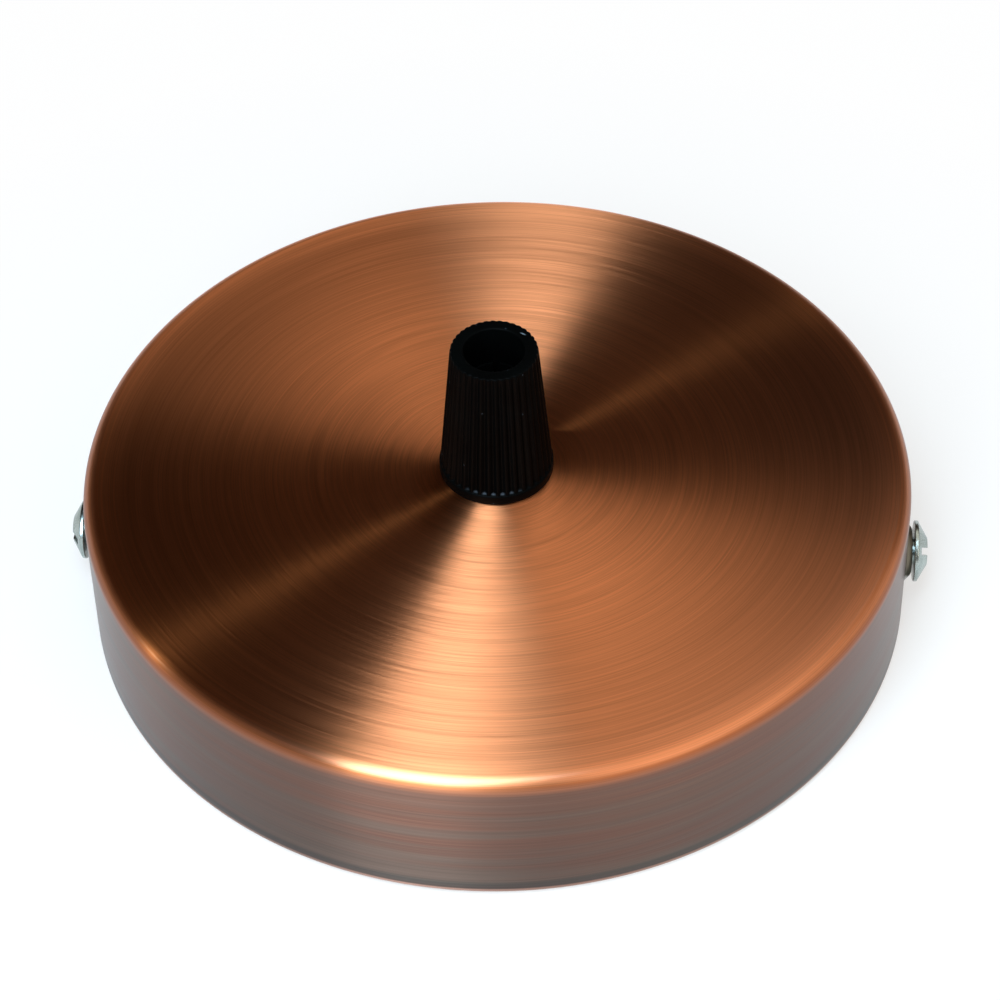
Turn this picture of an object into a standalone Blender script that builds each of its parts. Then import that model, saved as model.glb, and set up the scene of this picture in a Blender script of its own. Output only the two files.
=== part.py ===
"""Ceiling canopy of a pendant light.

A shallow drawn steel cup stands mouth down on its rim, as it does on a bench. Its floor, now on top,
carries a plastic cord grip: a threaded nipple, a split clamping ring and a fluted tapered cap. Under
the floor a toothed washer and a hex nut hold the nipple. Inside the mouth lies the crossbar that is
screwed to the ceiling, and two slotted screws through dimples in the wall fasten the cup to it.

Metres. +Z runs up through the cord grip, X runs along the two side screws, and the origin is the
centre of the plane of the mouth.
"""
from math import atan2, cos, pi, radians, sin, sqrt

import bmesh
import bpy
from mathutils import Matrix, Vector

# Clearance between pieces that touch or screw together
FIT_GAP = 0.0003

# Cup, drawn from sheet
CUP_DIAMETER = 0.120
CUP_HEIGHT = 0.0233
SHEET = 0.0008
CUP_CORNER_INSIDE_RADIUS = 0.0012
RIM_TURN_INSIDE_RADIUS = 0.0002
RIM_LIP_WIDTH = 0.0010
CUP_SIDES = 96
DIMPLE_SIDES = 32

# Side screws, and the dimples pressed outwards round their holes
SIDE_SCREW_HEIGHT = 0.0080
SIDE_SCREW_LENGTH = 0.010
SIDE_SCREW_THREAD_DIAMETER = 0.004
SIDE_SCREW_HEAD_DIAMETER = 0.009
SIDE_SCREW_HEAD_HEIGHT = 0.0020
SLOT_TURN_RIGHT = 30.0
SLOT_TURN_LEFT = 13.0
DIMPLE_HEIGHT = 0.0009
DIMPLE_BASE_DIAMETER = 0.0094
DIMPLE_SEAT_DIAMETER = 0.0064
# How far a dimple's foot reaches inside the wall's outermost line, so that it meets the round wall
DIMPLE_ROOT = 0.0002

# Screw heads
HEAD_EDGE = 0.00035
HEAD_SLOT_WIDTH = 0.0011
HEAD_SLOT_DEPTH = 0.0010
DOME_STEPS = 5
SCREW_SIDES = 32

# Cord grip cap
CAP_HEIGHT = 0.0231
CAP_BASE_DIAMETER = 0.0165
CAP_TOP_DIAMETER = 0.0125
CAP_MOUTH_DIAMETER = 0.0087
CAP_MOUTH_DEPTH = 0.0061
CAP_CONE_LENGTH = 0.0055
CAP_COLLAR_HEIGHT = 0.0017
CAP_EDGE = 0.0002
FLUTES = 38
# The flutes taper less than the cap, so they are deeper at its foot
FLUTE_FOOT_DEPTH = 0.00045
FLUTE_TOP_DEPTH = 0.00028
# How deep a flute is at six places from the crest of one rib to the next, as a share of its depth
FLUTE_SHAPE = (0.0, 0.15, 0.7, 1.0, 0.7, 0.15)
BORE_POINTS_PER_FLUTE = 2

# Nipple and clamping ring
STEM_DIAMETER = 0.010
STEM_REACH = 0.008
SHOULDER_DIAMETER = 0.0126
SHOULDER_THICKNESS = 0.0020
CAP_THREAD_DIAMETER = 0.0118
THREAD_START = 0.0004
CLAMP_BAND = 0.0007
CLAMP_SLOTS = 4
CLAMP_SLOT_WIDTH = 0.0010
CLAMP_ROOT = 0.0018
# Wall of the clamping ring at the thin end of its cone; the bore for the cord follows from it
CLAMP_TIP_WALL = 0.0004
GRIP_SIDES = 42

# Washer and nut on the nipple
WASHER_DIAMETER = 0.0176
WASHER_THICKNESS = 0.0008
WASHER_TEETH = 16
WASHER_TOOTH_LENGTH = 0.0016
WASHER_TOOTH_TWIST = 0.00012
NUT_ACROSS_FLATS = 0.014
NUT_THICKNESS = 0.0030
NUT_EDGE = 0.0004

# Crossbar, folded from strip
BAR_WIDTH = 0.018
BAR_THICKNESS = 0.0015
BAR_BEND_INSIDE_RADIUS = 0.0012
BAR_TAB_ABOVE_SCREW = 0.0053
BAR_TAB_CORNER_RADIUS = 0.004
BAR_COLLAR_WALL = 0.0011
BAR_COLLAR_HEIGHT = 0.0018
BAR_CENTRE_HOLE_DIAMETER = 0.0105
BAR_SLOT_WIDTH = 0.0050
BAR_SLOT_LENGTH = 0.022
BAR_SLOT_FROM_END = 0.030
BAR_SIDES = 28

# Earth screw, through a clamp plate into a collar of the crossbar
EARTH_FROM_END = 0.011
EARTH_THREAD_DIAMETER = 0.004
EARTH_HEAD_DIAMETER = 0.0076
EARTH_HEAD_HEIGHT = 0.0022
EARTH_SLOT_TURN = 24.0
CLAMP_PLATE_SIDE = 0.0088
CLAMP_PLATE_THICKNESS = 0.0008
CLAMP_PLATE_LIP = 0.0009
CLAMP_PLATE_LIP_LENGTH = 0.0062
CLAMP_PLATE_TURN = 6.0

# Worked out from the values above
CUP_RADIUS = CUP_DIAMETER / 2
CUP_UNDERSIDE = CUP_HEIGHT - SHEET
RIM_TURN_RADIUS = RIM_TURN_INSIDE_RADIUS + SHEET
LIP_RADIUS = CUP_RADIUS - RIM_TURN_RADIUS - RIM_LIP_WIDTH
STEM_RADIUS = STEM_DIAMETER / 2
STEM_HOLE_RADIUS = STEM_RADIUS + FIT_GAP
SIDE_HOLE_RADIUS = SIDE_SCREW_THREAD_DIAMETER / 2 + FIT_GAP
SIDE_HEAD_SEAT = CUP_RADIUS + DIMPLE_HEIGHT + FIT_GAP

CAP_BASE = CUP_HEIGHT + FIT_GAP
CAP_TOP = CUP_HEIGHT + CAP_HEIGHT
CAP_THREAD_RADIUS = CAP_THREAD_DIAMETER / 2 + FIT_GAP
CAP_MOUTH_RADIUS = CAP_MOUTH_DIAMETER / 2
CONE_TOP = CAP_TOP - CAP_MOUTH_DEPTH
CONE_FOOT = CONE_TOP - CAP_CONE_LENGTH
CONE_SLOPE = atan2(CAP_THREAD_RADIUS - CAP_MOUTH_RADIUS, CAP_CONE_LENGTH)
CONE_GAP = FIT_GAP / cos(CONE_SLOPE)
CLAMP_FOOT = CONE_FOOT - CLAMP_BAND
NIPPLE_TOP = CLAMP_FOOT - FIT_GAP
SHOULDER_TOP = CAP_BASE + SHOULDER_THICKNESS
CORD_BORE_RADIUS = CAP_MOUTH_RADIUS - CONE_GAP - CLAMP_TIP_WALL

WASHER_TOP = CUP_UNDERSIDE - FIT_GAP
NUT_TOP = WASHER_TOP - WASHER_THICKNESS - FIT_GAP

BAR_REACH = sqrt((LIP_RADIUS - FIT_GAP) ** 2 - (BAR_WIDTH / 2) ** 2)
BAR_BEND_RADIUS = BAR_BEND_INSIDE_RADIUS + BAR_THICKNESS
BAR_TAB_TOP = SIDE_SCREW_HEIGHT + BAR_TAB_ABOVE_SCREW
BAR_SLOT_PLACE = BAR_REACH - BAR_SLOT_FROM_END
EARTH_PLACE = EARTH_FROM_END - BAR_REACH
EARTH_HOLE_RADIUS = EARTH_THREAD_DIAMETER / 2 + FIT_GAP
EARTH_COLLAR_TOP = BAR_THICKNESS + BAR_COLLAR_HEIGHT
CLAMP_PLATE_FOOT = EARTH_COLLAR_TOP + FIT_GAP
EARTH_HEAD_SEAT = CLAMP_PLATE_FOOT + CLAMP_PLATE_THICKNESS + FIT_GAP

# Boolean cutters run past the faces that they cut by this much
OVERRUN = 0.002
# Points nearer than this are one point
SAME_POINT = 1e-6
# Faces that turn by less than this, in degrees, are shaded as one surface
SMOOTH_TURN = 35.0


def clear_scene():
    for ob in list(bpy.data.objects):
        bpy.data.objects.remove(ob, do_unlink=True)


def material(name, colour, roughness, metallic):
    mat = bpy.data.materials.new(name)
    mat.use_nodes = True
    shader = mat.node_tree.nodes["Principled BSDF"]
    shader.inputs["Base Color"].default_value = (*colour, 1.0)
    shader.inputs["Roughness"].default_value = roughness
    shader.inputs["Metallic"].default_value = metallic
    mat.diffuse_color = (*colour, 1.0)
    return mat


def arc(centre, radius, start, end, steps):
    """Points on an arc in the (r, z) plane; angles in degrees from the r axis."""
    points = []
    for i in range(steps + 1):
        a = radians(start + (end - start) * i / steps)
        points.append((centre[0] + radius * cos(a), centre[1] + radius * sin(a)))
    return points


def to_object(bm, name, mat=None, location=(0, 0, 0), rotation=None):
    """Make an object of bm with outward normals, smooth where its faces run on."""
    bmesh.ops.recalc_face_normals(bm, faces=bm.faces)
    mesh = bpy.data.meshes.new(name)
    bm.to_mesh(mesh)
    bm.free()
    mesh.shade_smooth()
    mesh.set_sharp_from_angle(angle=radians(SMOOTH_TURN))
    if mat is not None:
        mesh.materials.append(mat)
    ob = bpy.data.objects.new(name, mesh)
    bpy.context.collection.objects.link(ob)
    turn = rotation.to_4x4() if rotation else Matrix.Identity(4)
    ob.matrix_world = Matrix.Translation(location) @ turn
    return ob


def turned(outline, sides, closed=True):
    """Spin an outline of (r, z) points once round Z; an open outline starts and ends on the axis."""
    bm = bmesh.new()
    verts = [bm.verts.new((r, 0, z)) for r, z in outline]
    edges = [bm.edges.new(pair) for pair in zip(verts, verts[1:])]
    if closed:
        edges.append(bm.edges.new((verts[-1], verts[0])))
    bmesh.ops.spin(
        bm,
        geom=verts + edges,
        cent=(0, 0, 0),
        axis=(0, 0, 1),
        angle=2 * pi,
        steps=sides,
        use_merge=True,
    )
    bmesh.ops.remove_doubles(bm, verts=bm.verts, dist=SAME_POINT)
    return bm


def stacked(rings):
    """A body whose skin runs through rings of points and back to the first ring.

    Where a ring has several times as many points as the next, each face takes that many of them.
    """
    bm = bmesh.new()
    loops = [[bm.verts.new(p) for p in ring] for ring in rings]
    for loop, following in zip(loops, loops[1:] + loops[:1]):
        coarse, fine = sorted((loop, following), key=len)
        share = len(fine) // len(coarse)
        for i, corner in enumerate(coarse):
            next_corner = coarse[(i + 1) % len(coarse)]
            edge = [fine[(i * share + k) % len(fine)] for k in range(share + 1)]
            bm.faces.new([next_corner, corner] + edge)
    return bm


def ring_points(radius, height, count):
    """Points round Z; radius and height are numbers, or functions of the point's number."""
    points = []
    for i in range(count):
        a = 2 * pi * i / count
        r = radius(i) if callable(radius) else radius
        z = height(i) if callable(height) else height
        points.append((r * cos(a), r * sin(a), z))
    return points


def add_cylinder(bm, radius, foot, top, sides, place=(0, 0, 0), along="Z", top_radius=None):
    """Add a capped cylinder or cone to bm, from foot to top along its axis."""
    turn = Matrix.Rotation(radians(90), 4, "Y") if along == "X" else Matrix.Identity(4)
    middle = Matrix.Translation((0, 0, (foot + top) / 2))
    bmesh.ops.create_cone(
        bm,
        cap_ends=True,
        segments=sides,
        radius1=radius,
        radius2=radius if top_radius is None else top_radius,
        depth=top - foot,
        matrix=Matrix.Translation(place) @ turn @ middle,
    )


def add_box(bm, size, place, turn=0.0):
    """Add a box to bm, turned by an angle in radians round Z through the origin."""
    matrix = (
        Matrix.Rotation(turn, 4, "Z")
        @ Matrix.Translation(place)
        @ Matrix.Diagonal((*size, 1.0))
    )
    bmesh.ops.create_cube(bm, size=1.0, matrix=matrix)


def add_prism(bm, outline, foot, top):
    """Add an upright prism to bm on a closed outline of (x, y) points."""
    face = bm.faces.new([bm.verts.new((x, y, foot)) for x, y in outline])
    raised = bmesh.ops.extrude_face_region(bm, geom=[face], use_keep_orig=True)["geom"]
    moved = [v for v in raised if isinstance(v, bmesh.types.BMVert)]
    bmesh.ops.translate(bm, verts=moved, vec=(0, 0, top - foot))


def boolean(ob, bm, operation, name, parent=None):
    """Join bm to ob, or cut it away, with a hidden guide object."""
    guide = to_object(bm, name)
    guide.hide_render = True
    guide.display_type = "WIRE"
    if parent is not None:
        guide.matrix_world = Matrix.Identity(4)
        guide.parent = parent
    modifier = ob.modifiers.new(name, "BOOLEAN")
    modifier.operation = operation
    modifier.solver = "EXACT"
    modifier.object = guide


def dimples(shift):
    """The cones of both dimples along X, moved outwards by shift."""
    bm = bmesh.new()
    foot = CUP_RADIUS - DIMPLE_ROOT + shift
    seat = CUP_RADIUS + DIMPLE_HEIGHT + shift
    buried = foot - SHEET / 2
    for side in (1, -1):
        outline = [
            (0, buried),
            (DIMPLE_BASE_DIAMETER / 2, buried),
            (DIMPLE_BASE_DIAMETER / 2, foot),
            (DIMPLE_SEAT_DIAMETER / 2, seat),
            (0, seat),
        ]
        cone = turned(outline, DIMPLE_SIDES, closed=False)
        place = Matrix.Translation((0, 0, SIDE_SCREW_HEIGHT))
        cone.transform(place @ Matrix.Rotation(side * radians(90), 4, "Y"))
        mesh = bpy.data.meshes.new("cone")
        cone.to_mesh(mesh)
        cone.free()
        bm.from_mesh(mesh)
        bpy.data.meshes.remove(mesh)
    return bm


def canopy_cup(mat):
    """Drawn cup: flat floor, rounded corner, straight wall, and a rim turned in to a narrow lip."""
    corner_inside = CUP_CORNER_INSIDE_RADIUS
    corner_radius = corner_inside + SHEET
    corner = (CUP_RADIUS - corner_radius, CUP_HEIGHT - corner_radius)
    rim = (CUP_RADIUS - RIM_TURN_RADIUS, RIM_TURN_RADIUS)
    outline = [(STEM_HOLE_RADIUS, CUP_HEIGHT)]
    outline += arc(corner, corner_radius, 90, 0, 5)
    outline += arc(rim, RIM_TURN_RADIUS, 0, -90, 3)
    outline += [(LIP_RADIUS, 0), (LIP_RADIUS, SHEET)]
    outline += arc(rim, RIM_TURN_INSIDE_RADIUS, -90, 0, 1)
    outline += arc(corner, corner_inside, 0, 90, 3)
    outline += [(STEM_HOLE_RADIUS, CUP_UNDERSIDE)]
    cup = to_object(turned(outline, CUP_SIDES), "canopy_cup", mat)

    boolean(cup, dimples(0), "UNION", "dimple_outsides")
    boolean(cup, dimples(-SHEET), "DIFFERENCE", "dimple_insides")
    holes = bmesh.new()
    inner = CUP_RADIUS - SHEET - OVERRUN
    outer = CUP_RADIUS + DIMPLE_HEIGHT + OVERRUN
    for foot, top in ((inner, outer), (-outer, -inner)):
        add_cylinder(
            holes,
            SIDE_HOLE_RADIUS,
            foot,
            top,
            SCREW_SIDES,
            place=(0, 0, SIDE_SCREW_HEIGHT),
            along="X",
        )
    boolean(cup, holes, "DIFFERENCE", "side_screw_holes")
    return cup


def cap_radius(height):
    """Outer radius of the cap's ribs at a height above its foot."""
    share = height / (CAP_TOP - CAP_BASE)
    return (CAP_BASE_DIAMETER + (CAP_TOP_DIAMETER - CAP_BASE_DIAMETER) * share) / 2


def cord_grip_cap(mat):
    """Tapered cap with ribs and flutes above a plain collar, bored for the nipple, a cone and the cord."""

    def level(radius, height, depth=0.0):
        def reach(i):
            return radius - depth * FLUTE_SHAPE[i % len(FLUTE_SHAPE)]

        return ring_points(reach, height, FLUTES * len(FLUTE_SHAPE))

    def bore(radius, height):
        return ring_points(radius, height, FLUTES * BORE_POINTS_PER_FLUTE)

    total = CAP_TOP - CAP_BASE
    collar = CAP_COLLAR_HEIGHT
    shoulder_room = SHOULDER_DIAMETER / 2 + FIT_GAP
    rings = [
        level(CAP_BASE_DIAMETER / 2 - CAP_EDGE, 0),
        level(CAP_BASE_DIAMETER / 2, CAP_EDGE),
        level(CAP_BASE_DIAMETER / 2, collar - CAP_EDGE),
        level(cap_radius(collar), collar, FLUTE_FOOT_DEPTH / 2),
        level(cap_radius(collar), collar + CAP_EDGE, FLUTE_FOOT_DEPTH),
        level(cap_radius(total - CAP_EDGE), total - CAP_EDGE, FLUTE_TOP_DEPTH),
        level(CAP_TOP_DIAMETER / 2 - CAP_EDGE, total, FLUTE_TOP_DEPTH),
        bore(CAP_MOUTH_RADIUS + CAP_EDGE, total),
        bore(CAP_MOUTH_RADIUS, total - CAP_EDGE),
        bore(CAP_MOUTH_RADIUS, CONE_TOP - CAP_BASE),
        bore(CAP_THREAD_RADIUS, CONE_FOOT - CAP_BASE),
        bore(CAP_THREAD_RADIUS, SHOULDER_THICKNESS + FIT_GAP),
        bore(shoulder_room, SHOULDER_THICKNESS + FIT_GAP),
        bore(shoulder_room, 0),
    ]
    return to_object(stacked(rings), "cord_grip_cap", mat, (0, 0, CAP_BASE))


def cord_grip_nipple(mat):
    """Hollow threaded stem through the cup, with a shoulder on the cup's floor and a thread for the cap."""
    stem_foot = CUP_UNDERSIDE - STEM_REACH
    thread = CAP_THREAD_DIAMETER / 2
    outline = [
        (CORD_BORE_RADIUS, stem_foot),
        (STEM_RADIUS - THREAD_START, stem_foot),
        (STEM_RADIUS, stem_foot + THREAD_START),
        (STEM_RADIUS, CAP_BASE),
        (SHOULDER_DIAMETER / 2, CAP_BASE),
        (SHOULDER_DIAMETER / 2, SHOULDER_TOP),
        (thread, SHOULDER_TOP),
        (thread, NIPPLE_TOP - THREAD_START),
        (thread - THREAD_START, NIPPLE_TOP),
        (CORD_BORE_RADIUS, NIPPLE_TOP),
    ]
    return to_object(turned(outline, GRIP_SIDES), "cord_grip_nipple", mat)


def cord_clamp_ring(mat):
    """Split ring whose fingers the cap's cone closes on the cord."""
    height = CLAMP_BAND + CAP_CONE_LENGTH
    outline = [
        (CORD_BORE_RADIUS, 0),
        (CAP_THREAD_RADIUS - CONE_GAP, 0),
        (CAP_THREAD_RADIUS - CONE_GAP, CLAMP_BAND),
        (CAP_MOUTH_RADIUS - CONE_GAP, height),
        (CORD_BORE_RADIUS, height),
    ]
    ring = to_object(turned(outline, GRIP_SIDES), "cord_clamp_ring", mat, (0, 0, CLAMP_FOOT))

    slots = bmesh.new()
    for i in range(CLAMP_SLOTS):
        low = -OVERRUN if i == 0 else CLAMP_ROOT
        high = height + OVERRUN
        size = (CAP_THREAD_RADIUS, CLAMP_SLOT_WIDTH, high - low)
        place = (CORD_BORE_RADIUS / 2 + size[0] / 2, 0, (low + high) / 2)
        add_box(slots, size, place, 2 * pi * i / CLAMP_SLOTS)
    boolean(ring, slots, "DIFFERENCE", "clamp_slots", parent=ring)
    return ring


def lock_washer(mat):
    """Flat ring with twisted teeth round its outside."""
    per_tooth = 4
    columns = WASHER_TEETH * per_tooth
    tip = WASHER_DIAMETER / 2
    root = tip - WASHER_TOOTH_LENGTH

    def reach(i):
        return tip if i % per_tooth < 2 else root

    def twist(i):
        return WASHER_TOOTH_TWIST * (1, -1, 0, 0)[i % per_tooth]

    foot = WASHER_TOP - WASHER_THICKNESS
    rings = [
        ring_points(STEM_HOLE_RADIUS, foot, columns),
        ring_points(root, foot, columns),
        ring_points(reach, lambda i: foot + twist(i), columns),
        ring_points(reach, lambda i: WASHER_TOP + twist(i), columns),
        ring_points(root, WASHER_TOP, columns),
        ring_points(STEM_HOLE_RADIUS, WASHER_TOP, columns),
    ]
    bm = stacked(rings)
    bmesh.ops.remove_doubles(bm, verts=bm.verts, dist=SAME_POINT)
    return to_object(bm, "lock_washer", mat)


def hex_nut(mat):
    """Thin hex nut with its corners taken down on both faces."""
    columns = GRIP_SIDES
    flat = NUT_ACROSS_FLATS / 2

    def hexagon(i):
        return flat / cos((2 * pi * i / columns) % (pi / 3) - pi / 6)

    def rounded(i):
        return min(hexagon(i), flat + NUT_EDGE / 2)

    foot = NUT_TOP - NUT_THICKNESS
    rings = [
        ring_points(STEM_HOLE_RADIUS, foot, columns),
        ring_points(rounded, foot, columns),
        ring_points(hexagon, foot + NUT_EDGE, columns),
        ring_points(hexagon, NUT_TOP - NUT_EDGE, columns),
        ring_points(rounded, NUT_TOP, columns),
        ring_points(STEM_HOLE_RADIUS, NUT_TOP, columns),
    ]
    return to_object(stacked(rings), "hex_nut", mat)


def bar_outline():
    """Section of the crossbar in the (x, z) plane, folded up at both ends."""
    bend = (BAR_REACH - BAR_BEND_RADIUS, BAR_BEND_RADIUS)
    half = arc(bend, BAR_BEND_RADIUS, -90, 0, 6)
    half += [(BAR_REACH, BAR_TAB_TOP), (BAR_REACH - BAR_THICKNESS, BAR_TAB_TOP)]
    half += arc(bend, BAR_BEND_INSIDE_RADIUS, 0, -90, 6)
    return half + [(-x, z) for x, z in reversed(half)]


def slot_outline():
    """Long hole with round ends, along X."""
    run = (BAR_SLOT_LENGTH - BAR_SLOT_WIDTH) / 2
    radius = BAR_SLOT_WIDTH / 2
    return arc((run, 0), radius, -90, 90, 10) + arc((-run, 0), radius, 90, 270, 10)


def mounting_crossbar(mat):
    """Folded strip with tapped collars for the side screws and the earth screw, a hole and two slots."""
    bm = bmesh.new()
    face = bm.faces.new([bm.verts.new((x, -BAR_WIDTH / 2, z)) for x, z in bar_outline()])
    raised = bmesh.ops.extrude_face_region(bm, geom=[face], use_keep_orig=True)["geom"]
    moved = [v for v in raised if isinstance(v, bmesh.types.BMVert)]
    bmesh.ops.translate(bm, verts=moved, vec=(0, BAR_WIDTH, 0))
    tips = [
        e
        for e in bm.edges
        if all(abs(v.co.z - BAR_TAB_TOP) < SAME_POINT for v in e.verts)
        and abs(e.verts[0].co.y - e.verts[1].co.y) < SAME_POINT
    ]
    bmesh.ops.bevel(
        bm,
        geom=tips,
        offset=BAR_TAB_CORNER_RADIUS,
        segments=6,
        profile=0.5,
        affect="EDGES",
        material=-1,
    )
    bar = to_object(bm, "mounting_crossbar", mat)

    buried = BAR_THICKNESS / 2
    inner_face = BAR_REACH - BAR_THICKNESS
    collar_end = inner_face - BAR_COLLAR_HEIGHT
    side_collar = SIDE_HOLE_RADIUS + BAR_COLLAR_WALL
    earth_collar = EARTH_HOLE_RADIUS + BAR_COLLAR_WALL
    side = (0, 0, SIDE_SCREW_HEIGHT)
    earth = (EARTH_PLACE, 0, 0)
    collars = bmesh.new()
    add_cylinder(collars, side_collar, collar_end, inner_face + buried, BAR_SIDES, side, "X")
    add_cylinder(collars, side_collar, -inner_face - buried, -collar_end, BAR_SIDES, side, "X")
    add_cylinder(collars, earth_collar, BAR_THICKNESS - buried, EARTH_COLLAR_TOP, BAR_SIDES, earth)
    boolean(bar, collars, "UNION", "tapped_collars")

    far = BAR_REACH + OVERRUN
    near = collar_end - OVERRUN
    low, high = -OVERRUN, BAR_THICKNESS + OVERRUN
    holes = bmesh.new()
    add_cylinder(holes, SIDE_HOLE_RADIUS, near, far, BAR_SIDES, side, "X")
    add_cylinder(holes, SIDE_HOLE_RADIUS, -far, -near, BAR_SIDES, side, "X")
    add_cylinder(holes, EARTH_HOLE_RADIUS, low, EARTH_COLLAR_TOP + OVERRUN, BAR_SIDES, earth)
    add_cylinder(holes, BAR_CENTRE_HOLE_DIAMETER / 2, low, high, BAR_SIDES)
    for place in (BAR_SLOT_PLACE, -BAR_SLOT_PLACE):
        add_prism(holes, [(place + x, y) for x, y in slot_outline()], low, high)
    boolean(bar, holes, "DIFFERENCE", "crossbar_holes")
    return bar


def slotted_screw(name, mat, size, location, rotation, slot_turn):
    """Pan head screw along its own Z, its head above the origin; size gives its four dimensions."""
    head_radius = size["head"] / 2
    shank = size["thread"] / 2
    dome = size["head_height"] - HEAD_EDGE
    outline = [(0, size["head_height"])]
    for i in range(1, DOME_STEPS + 1):
        a = radians(90 - 90 * i / DOME_STEPS)
        outline.append((head_radius * cos(a), HEAD_EDGE + dome * sin(a)))
    outline += [
        (head_radius, 0),
        (shank, 0),
        (shank, THREAD_START - size["length"]),
        (shank - THREAD_START, -size["length"]),
        (0, -size["length"]),
    ]
    bm = turned(outline, SCREW_SIDES, closed=False)
    screw = to_object(bm, name, mat, location, rotation)
    slot = bmesh.new()
    top = size["head_height"] + OVERRUN
    floor = size["head_height"] - HEAD_SLOT_DEPTH
    extent = (size["head"] + OVERRUN, HEAD_SLOT_WIDTH, top - floor)
    add_box(slot, extent, (0, 0, (top + floor) / 2), radians(slot_turn))
    boolean(screw, slot, "DIFFERENCE", name + "_slot", parent=screw)
    return screw


def side_screws(mat):
    size = {
        "head": SIDE_SCREW_HEAD_DIAMETER,
        "head_height": SIDE_SCREW_HEAD_HEIGHT,
        "thread": SIDE_SCREW_THREAD_DIAMETER,
        "length": SIDE_SCREW_LENGTH,
    }
    right = Matrix(((0, 0, 1), (1, 0, 0), (0, 1, 0)))
    left = Matrix(((0, 0, -1), (1, 0, 0), (0, -1, 0)))
    place = Vector((SIDE_HEAD_SEAT, 0, SIDE_SCREW_HEIGHT))
    slotted_screw("side_screw_right", mat, size, place, right, -SLOT_TURN_RIGHT)
    place.x = -SIDE_HEAD_SEAT
    slotted_screw("side_screw_left", mat, size, place, left, SLOT_TURN_LEFT)


def earth_terminal(plate_mat, screw_mat):
    """Square clamp plate with one edge turned down, and the screw that presses it on the crossbar."""
    half = CLAMP_PLATE_SIDE / 2
    plate = bmesh.new()
    add_box(
        plate,
        (CLAMP_PLATE_SIDE, CLAMP_PLATE_SIDE, CLAMP_PLATE_THICKNESS),
        (0, 0, CLAMP_PLATE_THICKNESS / 2),
    )
    upright = [e for e in plate.edges if abs(e.verts[0].co.z - e.verts[1].co.z) > SAME_POINT]
    bmesh.ops.bevel(
        plate,
        geom=upright,
        offset=CLAMP_PLATE_THICKNESS,
        segments=4,
        profile=0.5,
        affect="EDGES",
        material=-1,
    )
    turn = Matrix.Rotation(radians(CLAMP_PLATE_TURN), 3, "Z")
    seat = (EARTH_PLACE, 0, CLAMP_PLATE_FOOT)
    plate = to_object(plate, "earth_clamp_plate", plate_mat, seat, turn)

    lip = bmesh.new()
    top = CLAMP_PLATE_THICKNESS / 2
    size = (CLAMP_PLATE_THICKNESS, CLAMP_PLATE_LIP_LENGTH, top + CLAMP_PLATE_LIP)
    add_box(lip, size, (half - size[0] / 2, 0, (top - CLAMP_PLATE_LIP) / 2))
    boolean(plate, lip, "UNION", "clamp_plate_lip", parent=plate)
    hole = bmesh.new()
    add_cylinder(hole, EARTH_HOLE_RADIUS, -OVERRUN, CLAMP_PLATE_THICKNESS + OVERRUN, BAR_SIDES)
    boolean(plate, hole, "DIFFERENCE", "clamp_plate_hole", parent=plate)

    screw = {
        "head": EARTH_HEAD_DIAMETER,
        "head_height": EARTH_HEAD_HEIGHT,
        "thread": EARTH_THREAD_DIAMETER,
        "length": EARTH_HEAD_SEAT - FIT_GAP,
    }
    upright = Matrix.Identity(3)
    seat = (EARTH_PLACE, 0, EARTH_HEAD_SEAT)
    slotted_screw("earth_screw", screw_mat, screw, seat, upright, EARTH_SLOT_TURN)


def build():
    clear_scene()
    copper = material("brushed_copper_plate", (0.42, 0.155, 0.070), 0.32, 1.0)
    nylon = material("black_moulded_nylon", (0.006, 0.006, 0.006), 0.48, 0.0)
    zinc = material("zinc_plated_steel", (0.52, 0.54, 0.56), 0.30, 1.0)
    brass = material("bright_brass", (0.62, 0.43, 0.16), 0.28, 1.0)
    canopy_cup(copper)
    cord_grip_cap(nylon)
    cord_grip_nipple(nylon)
    cord_clamp_ring(nylon)
    lock_washer(zinc)
    hex_nut(zinc)
    mounting_crossbar(zinc)
    side_screws(zinc)
    earth_terminal(brass, brass)


build()
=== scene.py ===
"""Looks of a round ceiling canopy: a copper cup brushed in circles, with a black cord grip."""
from math import atan2, cos, degrees, pi, radians, sin, sqrt

import bmesh
import bpy
from mathutils import Matrix, Vector


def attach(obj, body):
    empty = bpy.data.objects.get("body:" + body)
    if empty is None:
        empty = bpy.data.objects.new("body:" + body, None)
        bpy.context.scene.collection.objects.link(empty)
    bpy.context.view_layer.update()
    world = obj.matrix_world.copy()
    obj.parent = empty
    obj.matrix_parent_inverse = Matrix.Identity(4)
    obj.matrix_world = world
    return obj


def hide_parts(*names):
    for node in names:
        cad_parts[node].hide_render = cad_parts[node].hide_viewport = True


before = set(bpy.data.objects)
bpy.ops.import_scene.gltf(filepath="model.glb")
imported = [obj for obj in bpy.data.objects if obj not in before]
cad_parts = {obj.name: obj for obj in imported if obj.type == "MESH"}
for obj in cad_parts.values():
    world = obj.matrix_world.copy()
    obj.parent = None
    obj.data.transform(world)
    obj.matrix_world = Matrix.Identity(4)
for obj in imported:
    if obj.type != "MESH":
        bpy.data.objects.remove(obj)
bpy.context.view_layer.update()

# Lengths are in metres, unless a name or a comment says mm, and angles in degrees

# Clearance between pieces that touch or screw together
FIT_GAP = 0.0003

# Cup, drawn from sheet
CUP_RADIUS = 0.060
CUP_HEIGHT = 0.0233
SHEET = 0.0008
CUP_CORNER_INSIDE = 0.0012
RIM_TURN_INSIDE = 0.0002
RIM_LIP_WIDTH = 0.0010
CUP_SIDES = 360
SCREW_HEIGHT = 0.0080
DIMPLE_HEIGHT = 0.0009
DIMPLE_BASE_RADIUS = 0.0047
DIMPLE_SEAT_RADIUS = 0.0032

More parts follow.
